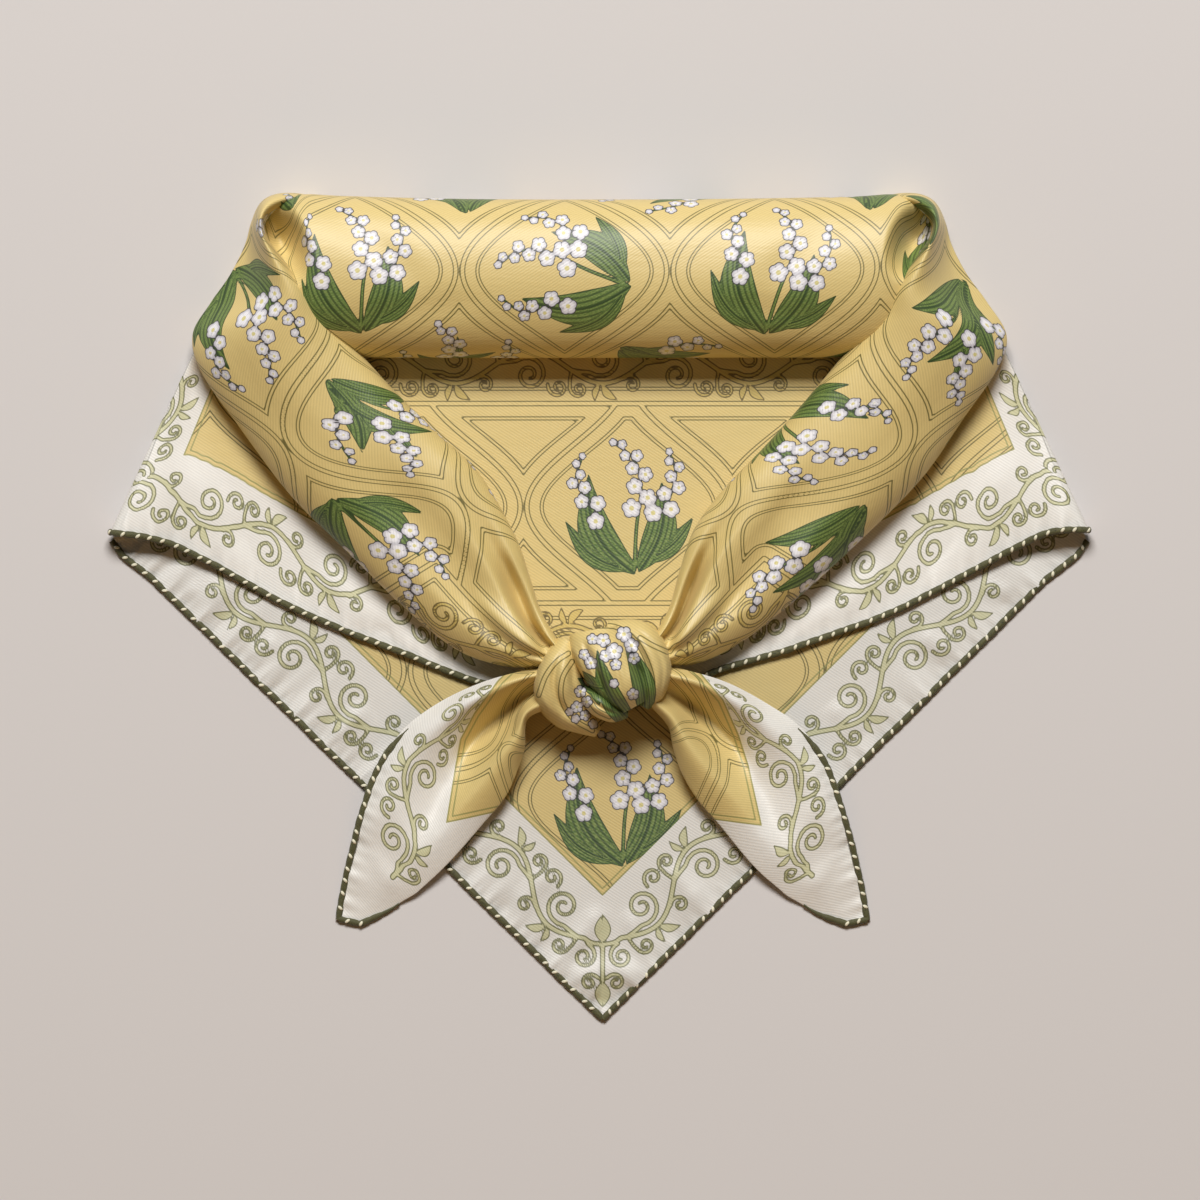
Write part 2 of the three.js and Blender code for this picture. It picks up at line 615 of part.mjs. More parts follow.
function underLayer() {
  const inset = HEM_WIDTH / 2;
  const left = underEdge(-1, inset);
  const right = underEdge(1, inset).reverse().slice(1);
  const edge = [...left, ...right];
  const outline = new THREE.Shape();
  outline.moveTo(2 - FOLD_TOP_X, NECK_TOP_Y);
  edge.forEach(({ x, y }) => outline.lineTo(x, y));
  outline.lineTo(FOLD_TOP_X - 2, NECK_TOP_Y);
  return new THREE.ExtrudeGeometry(outline, { depth: CLOTH, bevelEnabled: false });
}

function underHemPath(side) {
  const path = underEdge(side, HEM_WIDTH / 2).map(({ x, y }) => [x, y, HEM_HEIGHT / 2]);
  path[path.length - 1][1] -= HEM_WIDTH / 3;
  return path;
}

// Rolled hem: a roll with flattened faces along a path of points

const HEM_PROFILE = [
  [-0.38, -0.5], [0.38, -0.5], [0.5, -0.2], [0.48, 0.2], [0.28, 0.5], [-0.28, 0.5], [-0.48, 0.2], [-0.5, -0.2],
];

function hemRings(path, extra) {
  let side = new THREE.Vector3();
  return path.map((point, i) => {
    const here = new THREE.Vector3(...point);
    const ahead = new THREE.Vector3(...path[Math.min(path.length - 1, i + 1)]);
    const behind = new THREE.Vector3(...path[Math.max(0, i - 1)]);
    const run = ahead.sub(behind).normalize();
    if (i === 0) side.set(-run.y, run.x, 0).normalize();
    side = side.clone().sub(run.clone().multiplyScalar(side.dot(run))).normalize();
    const up = run.clone().cross(side);
    const end = i === 0 ? -extra : (i === path.length - 1 ? extra : 0);
    here.addScaledVector(run, end);
    return HEM_PROFILE.map(([across, rise]) => {
      const p = here.clone();
      p.addScaledVector(side, across * (HEM_WIDTH + 2 * extra));
      p.addScaledVector(up, rise * (HEM_HEIGHT + 2 * extra));
      return [p.x, p.y, Math.max(-extra, p.z)];
    });
  });
}

// Build

const group = new THREE.Group();

// Every stretch in order, each cut to clear the stretches named before it
const rooms = [];

function place(name, colour, body, room) {
  group.add(meshOf(name, without(body, rooms), colour));
  rooms.push(room);
}

function placeLoft(name, colour, ringsFor) {
  place(name, colour, solidOf(loft(ringsFor(0))), solidOf(loft(ringsFor(SEAM))));
}

placeLoft('knot_front', GOLD, (extra) => knotRings(KNOT_FRONT, extra));
placeLoft('knot_lower', GOLD, (extra) => knotRings(KNOT_LOWER, extra));
placeLoft('knot_left', GOLD, (extra) => knotRings(KNOT_LEFT, extra));
placeLoft('knot_top', GOLD, (extra) => knotRings(KNOT_TOP, extra));

const tailTables = { left: TAIL_LEFT, right: TAIL_RIGHT };
for (const [side, table] of Object.entries(tailTables)) {
  const hem = tailHemPaths(table);
  placeLoft(`hem_tail_${side}`, OLIVE, (extra) => hemRings(hem.down, extra));
  placeLoft(`hem_tail_${side}_end`, OLIVE, (extra) => hemRings(hem.across, extra));
  const grid = tailGrid(table);
  place(`tail_${side}`, CREAM, solidOf(wall(grid, CLOTH)), solidOf(wall(grid, CLOTH + 2 * SEAM)));
}

placeLoft('arm_left', GOLD, (extra) => armRings(ARM_LEFT, extra));
placeLoft('arm_right', GOLD, (extra) => armRings(ARM_RIGHT, extra));
placeLoft('back_roll', GOLD, rollRings);

placeLoft('hem_under_left', OLIVE, (extra) => hemRings(underHemPath(-1), extra));
placeLoft('hem_under_right', OLIVE, (extra) => hemRings(underHemPath(1), extra));
placeLoft('hem_upper_left', OLIVE, (extra) => hemRings(upperHemPath(-1), extra));
placeLoft('hem_upper_right', OLIVE, (extra) => hemRings(upperHemPath(1), extra));

const panel = panelGrid();
place('upper_layer', CREAM, solidOf(wall(panel, CLOTH)), solidOf(wall(panel, CLOTH + 2 * SEAM)));
place('under_layer', CREAM, solidOf(underLayer()), null);

export default group;
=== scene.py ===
# A printed silk square scarf, folded on its diagonal, rolled at the neck, knotted in front and
# laid on a pale table. Each stretch repeats its solid's sections at a fine spacing and carries
# its print as signed distances in millimetres, which the silk's material turns into colour.

import json
import bpy
import numpy as np
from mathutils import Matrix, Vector

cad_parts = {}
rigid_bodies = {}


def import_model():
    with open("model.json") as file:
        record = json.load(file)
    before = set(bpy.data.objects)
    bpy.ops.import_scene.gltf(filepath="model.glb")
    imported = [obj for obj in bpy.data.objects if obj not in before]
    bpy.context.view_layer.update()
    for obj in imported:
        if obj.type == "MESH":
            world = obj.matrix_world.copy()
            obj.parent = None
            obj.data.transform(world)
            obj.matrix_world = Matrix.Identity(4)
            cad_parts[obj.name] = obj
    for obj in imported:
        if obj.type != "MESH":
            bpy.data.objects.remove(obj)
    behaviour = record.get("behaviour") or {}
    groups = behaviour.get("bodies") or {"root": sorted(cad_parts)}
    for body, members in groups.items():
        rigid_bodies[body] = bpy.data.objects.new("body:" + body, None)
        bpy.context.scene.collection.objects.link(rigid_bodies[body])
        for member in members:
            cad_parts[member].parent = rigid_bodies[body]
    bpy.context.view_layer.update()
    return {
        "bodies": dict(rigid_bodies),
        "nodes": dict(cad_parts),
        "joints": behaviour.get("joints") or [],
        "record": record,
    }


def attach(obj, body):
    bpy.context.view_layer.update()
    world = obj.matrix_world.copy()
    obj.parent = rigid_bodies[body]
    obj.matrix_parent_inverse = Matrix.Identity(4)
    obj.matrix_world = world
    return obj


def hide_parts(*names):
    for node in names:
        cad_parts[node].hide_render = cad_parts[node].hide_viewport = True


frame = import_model()

# Sizes, in millimetres
MM = 0.001  # in metres
CLOTH = 1.2  # thickness of a layer
HEM_WIDTH = 2.9
HEM_HEIGHT = 2.3
STITCH_PITCH = 5.6
TIP_X = 207  # side tips
POINT_X = 1.3  # lower point
POINT_Y = -174.6
NECK_TOP_Y = 118  # upper end of the two layers, under the roll
FOLD_TOP_X = 167  # side folds, there
BEND_AT_TIP = 4.2  # radius of a side fold, at its tip and at its top
BEND_AT_TOP = 0.9
ON_PANELS = 3.2  # height of the two layers, under the arms
ABOVE_UNDER = 1.85  # lowest the upper layer comes
BORDER = 38.0  # cream border of the print, from the cloth's edge

# Points along and around each stretch, or across it
ROLL_GRID = (460, 172)
ARM_GRID = (330, 112)
KNOT_GRID = (120, 131)
TAIL_GRID = (215, 96)
UPPER_GRID = (160, 276)
UNDER_STEP = 1.1
HEM_STEP = 0.7
UNDERNEATH = 6  # points of a section on each side underneath
BEND_POINTS = 14  # round a side fold
FINE = 4000  # points that lengths are measured on


def table(names, rows):
    """Named columns from rows of numbers."""
    return dict(zip(names.split(), np.array(rows, float).T))


UNDER_EDGE = table("x y", [(-206.5, 28), (-202, 21.5), (-189, 11.5), (POINT_X, POINT_Y)])

UPPER_HEM = table("x y", [
    (-207, 31), (-185, 27.5), (-167, 19.5), (-126, -2.5), (-84, -19.5), (-51, -32), (0, -45),
    (51, -27), (84, -17), (126, -1.5), (168, 20.5), (190, 31), (207, 32),
])

ROLL = table("x back front crest", [
    (-142, 166, 138, 26), (-136, 172.2, 119, 33), (-124, 174.2, 109.5, 36.5),
    (-105, 173.4, 106, 37.5), (-55, 172.2, 105.5, 38), (0, 172, 105.5, 37.5),
    (55, 172.3, 105.6, 38), (105, 173.2, 106, 37.5), (122, 174.2, 109.5, 36.5),
    (134, 172.8, 119, 33), (140, 166, 138, 26),
])

POCKETS = table("x y across along depth lean", [
    (-133.6, 155, 12.5, 23, 25, 0.4),
    (132.6, 156, 12.5, 22, 25, -0.4),
])

SIDES = "ox oy ix iy"  # a section's outer and inner side, in plan
ARM_HEIGHTS = table("low crest at", [
    (0, 2.5, 0.5), (0, 20, 0.5), (0, 27, 0.55), (0, 31.5, 0.62), (0, 34.5, 0.75), (0, 37, 0.84),
    (0, 38.5, 0.84), (0, 38.5, 0.8), (1, 37, 0.68), (ON_PANELS, 34, 0.57), (ON_PANELS, 31, 0.5),
    (ON_PANELS, 28.5, 0.47), (ON_PANELS, 26.5, 0.46), (ON_PANELS, 25, 0.47), (ON_PANELS, 25, 0.5),
    (4, 26.5, 0.52), (7, 28, 0.5),
])
ARM_LEFT = ARM_HEIGHTS | table(SIDES, [
    (-116, 173.2, -116.5, 171.8), (-128, 174.9, -127.6, 169.9), (-136.8, 174.2, -134.4, 167.6),
    (-142.8, 170.4, -138.6, 164.4), (-146.4, 162.5, -140.2, 160.2), (-149.2, 152.5, -138, 153.6),
    (-155.5, 140, -130.6, 144.6), (-163.5, 128.5, -121, 133.2), (-171, 115, -111.5, 121.5),
    (-167, 99, -98.6, 105.6), (-151, 76, -84, 89.5), (-130, 48, -67, 73), (-107, 25, -50.5, 57),
    (-82, 0.5, -35.5, 31), (-61, -16.5, -29.3, 13.5), (-42, -23.6, -24.5, -1), (-23, -25, -17, -14),
])
ARM_RIGHT = ARM_HEIGHTS | table(SIDES, [
    (116, 173.2, 116.5, 171.8), (127, 174.9, 126.6, 169.9), (135.6, 174.2, 133.2, 167.6),
    (141.6, 170.4, 137.4, 164.4), (145.4, 162.5, 139.4, 160.4), (148, 153, 137.4, 154.2),
    (154.4, 140.6, 130.6, 145), (162.8, 129, 121.8, 133.8), (171, 115, 114.4, 122.3),
    (167.2, 101, 102.4, 106.8), (153.6, 81, 86.4, 87.5), (134.6, 54, 69.5, 68.5),
    (105.4, 24.8, 52.8, 51.2), (82, 3.6, 40.2, 34.4), (61, -13, 33.9, 17.2), (42.2, -22.5, 29.4, 1),
    (25, -24, 22, -13),
])
ARM_CREASES = table("begin start end half depth", [
    (0.72, 0.86, 0.72, 0.12, 10),
    (0.62, 0.42, 0.34, 0.16, 3),
])

TAIL_HEIGHTS = table("edge ridge valley lobe inner", [
    (17, 24, 20, 24, 15), (14, 21, 10, 21, 12), (10.5, 18, 5.5, 19.5, 9), (7.5, 15, 4.4, 17.5, 7),
    (6, 12, 4.8, 14.5, 6), (5, 10, 6.2, 11.5, 5.5), (5, 8, 7, 8.4, 5), (3.4, 5, 5.4, 5.2, 3.2),
    (1.1, 2.2, 2.4, 1.9, 0.9), (0.6, 0.6, 0.6, 0.6, 0.6),
])
TAIL_LEFT = TAIL_HEIGHTS | table(SIDES, [
    (-16, -22, -20, -42), (-33, -26, -30, -47), (-50, -31, -31, -59), (-67, -39, -33.5, -67),
    (-82, -50, -39, -79), (-93.5, -64.5, -48.5, -90.5), (-101, -84.5, -62, -106),
    (-105.5, -101, -73.5, -117), (-109, -117, -86.5, -127), (-111.4, -131.5, -100.5, -133.5),
])
TAIL_RIGHT = TAIL_HEIGHTS | table(SIDES, [
    (20, -22, 22, -42), (38, -26, 28.5, -50), (54, -31, 30.5, -59), (70, -39.5, 34, -69),
    (85, -50, 40.5, -80), (96.5, -65, 50, -91), (104, -86, 64, -108), (108.5, -103, 75, -118),
    (112, -118, 88, -127.5), (114.4, -131.5, 104, -133.4),
])
TAIL_RIDGE = (0.17, 0.2)  # across a tail, at the knot and from halfway down
TAIL_VALLEY = (0.48, 0.56)
TAIL_LOBE = (0.8, 0.78)
TAIL_TUCK = 4.5  # of the inner side, under the lobe
TAIL_UNTUCKS = 0.75  # down a tail, where the inner side comes out
TAIL_HEM_BEGIN = 0.02  # of the outer hem, after it comes out
TAIL_HEM_END = 0.992
TAIL_END_HEM = (0.99, 0.975)  # down a tail, of its end's hem across and where that turns up the inner side
TAIL_END_ACROSS = (0.02, 0.8)  # of a section, where the end's hem begins and turns
TAIL_KNOTS = (0, 0.2, 0.6, 0.8, 0.99, 1.1)  # a section's knots in widths, to space its points by
TAIL_HEM_FROM = 0.42  # where the outer hem comes out, and is out, down a tail
TAIL_HEM_FULL = 0.58
TAIL_END_HEM_TO = 0.86  # where the hem round the end goes under

KNOT_COLUMNS = "x y half low high"
KNOT = {
    "knot_front": table(KNOT_COLUMNS, [
        (-2, -8.5, 10.5, 12, 32), (-0.5, -16, 11.8, 8, 38.5), (5.2, -26.5, 11, 7, 41),
        (11.4, -35, 9.8, 8, 38), (14.6, -41, 6.5, 12, 30),
    ]),
    "knot_lower": table(KNOT_COLUMNS, [
        (-7.5, -34, 2.6, 12, 27), (-0.8, -38.8, 5.6, 9, 33), (5.5, -43, 4.6, 8, 31),
        (12, -43.4, 2.2, 10, 24),
    ]),
    "knot_left": table(KNOT_COLUMNS, [
        (-13.5, -13, 4, 8, 26), (-16.4, -23, 8.2, 5, 33), (-16.6, -34, 11, 4, 31.5),
        (-12.4, -42, 9.6, 4, 26), (-6.5, -47.6, 5.6, 5, 20.5), (-0.6, -52, 2.2, 7, 13.5),
    ]),
    "knot_top": table(KNOT_COLUMNS, [
        (3, -7, 2.5, 10, 24), (16, -13, 8.4, 5, 33), (22.3, -23.5, 7.8, 4, 34),
        (22, -34, 5.8, 5, 31), (18.2, -41, 2.6, 8, 22),
    ]),
}

SECTION_POWER = 0.97  # 1 is an ellipse, less is fuller
ARM_POWERS = (1.22, 0.76)  # of an arm's section below the shoulder, on its outer and its inner side
WIDEST_AT = 0.3  # of a section's height
BASE_SINK = 0.3
ROLL_CREST = 0.46  # of the roll's width, from the back
SHOULDER = 0.48  # of an arm's length


# Maths

def mix(a, b, t):
    return a + (b - a) * t


def smooth(t):
    c = np.clip(t, 0, 1)
    return c * c * (3 - 2 * c)


def along(knots, t):
    """Catmull-Rom values at t, from 0 to 1 along the last axis of the knots."""
    first = 2 * knots[..., :1] - knots[..., 1:2]
    last = 2 * knots[..., -1:] - knots[..., -2:-1]
    padded = np.concatenate([first, knots, last], -1)
    place = np.clip(t, 0, 0.99999) * (knots.shape[-1] - 1)
    i = place.astype(int)
    f = place - i
    a, b, c, d = (padded[..., i + k] for k in range(4))
    return b + 0.5 * f * (c - a + f * (2 * a - 5 * b + 4 * c - d + f * (3 * (b - c) + d - a)))


def path_at(t, *columns):
    """Points at t of the path that has the columns as its coordinates."""
    return np.stack([along(column, t) for column in columns], -1)


def unit(vectors):
    return vectors / np.linalg.norm(vectors, axis=-1, keepdims=True)


def rows_of(data):
    """The same table as rows, each a dict of one section."""
    count = len(next(iter(data.values())))
    return [{name: data[name][i] for name in data} for i in range(count)]


def plan(points):
    """X and y of points."""
    return points[..., 0], points[..., 1]


def by_line(x, y, x0, y0, x1, y1):
    """Of points by a line: the length along it times its own, the distance off it, and its length."""
    dx, dy = x1 - x0, y1 - y0
    long = np.hypot(dx, dy)
    return (x - x0) * dx + (y - y0) * dy, ((y - y0) * dx - (x - x0) * dy) / long, long


def even_places(count, *paths):
    """Places along a table that are evenly far apart on the paths given as pairs of columns."""
    fine = np.linspace(0, 1, FINE)
    speed = sum(np.hypot(np.gradient(along(x, fine)), np.gradient(along(y, fine))) for x, y in paths)
    run = np.concatenate([[0], np.cumsum((speed[1:] + speed[:-1]) / 2)])
    return np.interp(np.linspace(0, run[-1], count), run, fine)


def run_length(points, axis=0):
    """Distance along a path, or along one axis of a grid of points, from its first point."""
    steps = np.linalg.norm(np.diff(points, axis=axis), axis=-1)
    start = np.zeros_like(np.take(steps, [0], axis=axis))
    return np.concatenate([start, np.cumsum(steps, axis=axis)], axis=axis)


def spaced(path, step):
    """Points at even steps along a path."""
    run = run_length(path)
    places = np.linspace(0, run[-1], max(2, int(run[-1] / step)))
    return np.stack([np.interp(places, run, column) for column in path.T], 1)


FOLD_ENDS = 0.35  # of a fold's length, over which each end rises
PUCKER = (0.26, 6)  # height and reach of the small puckers beside a hem
RIPPLE = (0.6, 16)  # and of the wider waves


def fold_field(points, folds):
    """Heights of soft troughs and ridges at plan points."""
    height = np.zeros(points.shape[:-1])
    for f in rows_of(folds):
        run, off, long = by_line(*plan(points), f["x0"], f["y0"], f["x1"], f["y1"])
        t = run / long ** 2
        off = off - f["bow"] * 4 * t * (1 - t)
        ends = smooth(t / FOLD_ENDS) * smooth((1 - t) / FOLD_ENDS)
        height += f["height"] * ends * np.exp(-(off / f["half"]) ** 2)
    return height


def hem_ripple(run, inward):
    """Heights of the small puckers and wider waves beside a hem, by length along it and in from it."""
    small = np.sin(run / 1.7 + 1.4 * np.sin(run / 23)) + 0.8 * np.sin(run / 0.9 + 2 * np.sin(run / 17) + 1)
    wide = np.sin(run / 5.9 + 1.2 * np.sin(run / 41) + 2) + 0.6 * np.sin(run / 3.4 + 1.7 * np.sin(run / 29))
    near = PUCKER[0] * small * np.exp(-(inward / PUCKER[1]) ** 2)
    return near + RIPPLE[0] * wide * np.exp(-(inward / RIPPLE[1]) ** 2)


FOLD_COLUMNS = "x0 y0 x1 y1 half height bow"
ROLL_FOLDS = table(FOLD_COLUMNS, [
    (-118, 168, -70, 128, 7, -1.2, 4), (-112, 118, -40, 128, 6, -0.9, 2),
    (-60, 165, 20, 158, 8, 0.6, 0), (112, 168, 66, 130, 7, -1.2, -4),
    (108, 118, 40, 126, 6, -0.9, -2), (0, 140, 70, 150, 9, -0.5, 3),
])
ARM_FOLDS = table(FOLD_COLUMNS, [
    (-160, 120, -120, 60, 7, -1.3, -3), (-128, 124, -92, 70, 6, -0.9, 3),
    (-150, 100, -96, 22, 8, 0.8, -4), (-84, 60, -48, 2, 5, -1.0, 2),
    (160, 120, 124, 60, 7, -1.3, 3), (130, 124, 94, 68, 6, -0.9, -3), (150, 98, 98, 24, 8, 0.8, 4),
    (88, 56, 52, 4, 5, -1.0, -2), (-78, 84, -26, 2, 6, 1.2, 0), (-101, 69, -30, -21, 7.5, -4.4, 0),
    (-42, 26, -18, -27, 2.4, -9, 0), (-54, 8, -22, -24, 5, 2.2, 0), (80, 82, 32, 4, 6, 1.2, 0),
    (101, 68, 36, -19, 7.5, -4.0, 0), (45, 28, 24, -27, 2.4, -9, 0), (56, 10, 26, -22, 5, 2.2, 0),
])
UNDER_FOLDS = table(FOLD_COLUMNS, [
    (-26, -155, 28, -155, 6.5, 2.0, 1), (-15, -166, 18, -166, 3, -0.7, 0),
    (-40, -128, -18, -108, 5, 1.1, 0), (-14, -148, 4, -124, 5, 1.0, 1),
    (20, -150, 12, -124, 4, 0.9, 1), (44, -128, 26, -106, 5, 1.0, -1),
    (-150, -22, -132, -12, 5, 0.9, 0), (-176, 4, -156, 10, 5, 0.9, 0),
    (150, -20, 132, -10, 5, 0.9, 0), (176, 6, 158, 10, 4, 0.8, 0), (-116, -56, -96, -40, 5, 0.8, 0),
    (112, -54, 96, -38, 5, 0.9, 0),
])
UPPER_FOLDS = table(FOLD_COLUMNS, [
    (-178, 70, -150, 10, 7, 1.2, 2), (-166, 40, -120, 6, 7, -1.0, 2),
    (-120, 20, -92, -12, 6, 1.0, 0), (-98, 4, -72, -24, 5, 0.9, 0), (176, 72, 150, 12, 7, 1.2, -2),
    (166, 42, 120, 8, 7, -1.0, -2), (122, 20, 94, -8, 6, 1.0, 0), (98, 4, 74, -20, 5, 0.9, 0),
])
KNOT_FOLDS = table(FOLD_COLUMNS, [
    (-8, -11, 5, -42, 1.3, -3.6, 0.5), (-12, -13, -4.5, -33, 1.4, 1.6, 0),
    (1, -8, 10, -40, 1.5, -1.3, 1), (7, -7, 15, -38, 1.5, 1.1, 1), (5, -6, 21, -42, 1.4, -1.8, 6.5),
    (10, -5, 22, -43, 1.3, -1.3, 10), (-13, -14, -7, -50, 1.7, -2.6, -9),
    (-11, -17, -3, -51, 1.5, -1.5, -3.5), (-17, -15, -14, -48, 1.8, 1.2, -10),
    (-5, -37, 10, -45, 1.0, -1.4, -1),
])
TAIL_FOLDS = table(FOLD_COLUMNS, [
    (-92, -72, -76, -110, 5, 1.0, 1), (-100, -96, -84, -122, 4, 0.7, 0),
    (-66, -62, -70, -96, 5, -0.8, 1), (94, -74, 78, -112, 5, 1.0, -1),
    (104, -98, 86, -122, 4, 0.7, 0), (68, -64, 72, -98, 5, -0.8, -1),
    (-20, -32, -64, -72, 3.4, -4.0, -6), (-24, -24, -66, -50, 4.5, 2.2, -5),
    (22, -32, 66, -72, 3.4, -4.0, 6), (26, -24, 70, -50, 4.5, 2.2, 5),
])


# Print: shapes as distances in millimetres, negative inside

FAR = 9.0  # where nothing of a kind is near
NOWHERE = 1e9
ALL_GOLD = 30.0  # into the gold field, from the border


def lens(x, y, base, tip, half, bow=0.12):
    """Distance to a pointed leaf from base to tip, and the place across it from -1 to 1."""
    run, n, long = by_line(x, y, *base, *tip)
    s = run / long
    n = n - bow * long * np.sin(np.pi * np.clip(s / long, 0, 1))
    width = half * np.sin(np.pi * np.clip(s / long, 0, 1) ** 0.85)
    beyond = np.maximum(np.maximum(-s, s - long), 0)
    distance = np.hypot(np.maximum(np.abs(n) - width, 0), beyond) - np.maximum(width - np.abs(n), 0)
    return distance, n / half


def to_segment(x, y, a, b):
    """Distance to a straight line from a to b, and the place along it of the nearest point."""
    d = b - a
    t = np.clip(((x - a[0]) * d[0] + (y - a[1]) * d[1]) / (d @ d), 0, 1)
    return np.hypot(x - a[0] - t * d[0], y - a[1] - t * d[1]), t


def stroke(x, y, points, half_start, half_end):
    """Distance to a line through points, tapered between two half widths."""
    points = np.asarray(points, float)
    best = np.full(x.shape, NOWHERE)
    count = len(points) - 1
    for k in range(count):
        away, t = to_segment(x, y, points[k], points[k + 1])
        best = np.minimum(best, away - mix(half_start, half_end, (k + t) / count))
    return best


def line_side(x, y, points):
    """Distance to a line through points, positive on its right."""
    points = np.asarray(points, float)
    best = np.full(x.shape, NOWHERE)
    side = np.ones(x.shape)
    for a, b in zip(points[:-1], points[1:]):
        away = to_segment(x, y, a, b)[0]
        cross = (x - a[0]) * (b[1] - a[1]) - (y - a[1]) * (b[0] - a[0])
        side = np.where(away < best, np.sign(cross), side)
        best = np.minimum(best, away)
    return best * side


def blossom(x, y, centre, radius, turn):
    """Distances to a five-petalled blossom and to the lines between its petals, and the radius."""
    dx, dy = x - centre[0], y - centre[1]
    r = np.hypot(dx, dy)
    angle = 2.5 * (np.arctan2(dy, dx) - turn)
    edge = radius * (0.72 + 0.28 * np.abs(np.cos(angle)) ** 0.5)
    between = np.abs(np.cos(angle)) * r * 0.55 + np.maximum(0, 0.35 * radius - r)
    return r - edge, between, r


def curve(points, count=18):
    """A smooth line of points through a few."""
    return path_at(np.linspace(0, 1, count), *np.array(points, float).T)


def spiral(centre, start, turns, outer, inner, count=26):
    """Points of a tendril that winds in about its centre, from the angle start in degrees."""
    t = np.linspace(0, 1, count)
    angle = np.radians(start + 360 * turns * t)
    radius = mix(outer, inner, t ** 0.75)
    return np.stack([centre[0] + radius * np.cos(angle), centre[1] + radius * np.sin(angle)], 1)


# Two sprays, each in a frame of its own about 70 mm tall: leaves as (base, tip, half width,
# bow), and racemes as (points of the stem, number of blossoms, first radius, last radius)
SPRAY_LEAVES = [
    [((0, -32), (-17, 17), 8.2, 0.16), ((2, -31), (17, 10), 7.4, -0.12),
     ((-1, -30), (-30, -4), 4.6, 0.14), ((3, -27), (30, -8), 4.2, -0.1)],
    [((2, -30), (-8, 22), 7.0, -0.14), ((0, -31), (24, 4), 6.6, 0.14),
     ((-2, -30), (-27, 3), 6.2, -0.1), ((1, -22), (13, 25), 4.0, 0.08)],
]
SPRAY_RACEMES = [
    [([(0, -30), (3, -10), (7, 8), (5, 22), (-4, 31)], 9, 4.7, 2.0),
     ([(1, -28), (10, -12), (19, 1), (24, 13), (22, 24)], 8, 4.5, 1.9),
     ([(0, -28), (-9, -10), (-18, 4), (-23, 15), (-19, 26)], 8, 4.3, 1.8)],
    [([(0, -30), (-5, -8), (-13, 9), (-16, 22), (-10, 32)], 9, 4.6, 1.9),
     ([(1, -28), (6, -8), (8, 10), (14, 22), (24, 27)], 9, 4.7, 2.0),
     ([(0, -27), (13, -16), (24, -8), (31, 3)], 6, 4.2, 1.9)],
]

SPRAY_REACH = 42  # of a spray, from its middle
SPRAY_SCALE = 1.12  # of a spray's frame to the cloth
SPRAY_CLEAR = 37  # around a spray that is kept
STEM_HALVES = (0.75, 0.4)
OPEN_BLOSSOM = 2.3  # radius from which a blossom shows its petals
CORE_PART = 0.26  # of a blossom's radius


def no_print(shape):
    """Distances of a plain gold ground."""
    fields = {name: np.full(shape, FAR) for name in ("leaf", "bloom", "petal", "core", "scroll", "trellis")}
    fields["rib"] = np.zeros(shape)
    return fields


def lay_leaf(distance, rib, fields):
    """A green shape over what is drawn, with the place across it, which its ribs follow."""
    fields["rib"] = np.where(distance < fields["leaf"], rib, fields["rib"])
    fields["leaf"] = np.minimum(fields["leaf"], distance)


def clear_spray(fields, where):
    """No leaves or blossoms where asked."""
    for name in ("leaf", "bloom"):
        fields[name] = np.where(where, FAR, fields[name])


def draw_leaves(x, y, leaves, fields):
    for leaf in leaves:
        lay_leaf(*lens(x, y, *leaf), fields)


def draw_blossoms(x, y, blossoms, fields):
    """Blossoms as (centre, radius), each turned from the one before and lying over it."""
    for k, (centre, radius) in enumerate(blossoms):
        d, between, r = blossom(x, y, centre, radius, 0.3 + 1.9 * k)
        inside = d < fields["bloom"]
        large = radius > OPEN_BLOSSOM
        fields["petal"] = np.where(inside, between if large else FAR, fields["petal"])
        fields["core"] = np.where(inside, r - CORE_PART * radius if large else FAR, fields["core"])
        fields["bloom"] = np.minimum(fields["bloom"], d)


def raceme(line, count, first, last):
    """Blossoms to both sides of a stem in turn, smaller towards its tip."""
    blossoms = []
    for k in range(count):
        place = mix(0.36, 1, k / (count - 1))
        radius = mix(first, last, k / (count - 1))
        here, ahead = (path_at(q, *line.T) for q in (place, place + 0.02))
        run = (ahead - here) / (np.linalg.norm(ahead - here) + 1e-6)
        side = (1, -1)[k % 2] * (radius * 0.75 if k < count - 1 else 0)
        blossoms.append(((here[0] - run[1] * side, here[1] + run[0] * side), radius))
    return blossoms


def spray(x, y, kind):
    """The distances of one spray of leaves and racemes."""
    out = no_print(x.shape)
    near = (np.abs(x) < SPRAY_REACH) & (np.abs(y) < SPRAY_REACH)
    px, py = x[near], y[near]
    part = no_print(px.shape)
    draw_leaves(px, py, SPRAY_LEAVES[kind], part)
    for stem, count, first, last in SPRAY_RACEMES[kind]:
        line = curve(stem)
        lay_leaf(stroke(px, py, line, *STEM_HALVES), 1.0, part)
        draw_blossoms(px, py, raceme(line, count, first, last), part)
    for name in out:
        out[name][near] = part[name]
    return out


CELL_ACROSS = 88.0
CELL_ALONG = 108.0
TRELLIS_SWING = CELL_ACROSS / 4 - 1.4  # of its lines, to each side
SPRAY_TURNS = np.array([0.1, 2.75, -0.45, 1.35, 0.4, -2.3, -0.15])  # of the sprays, cell by cell


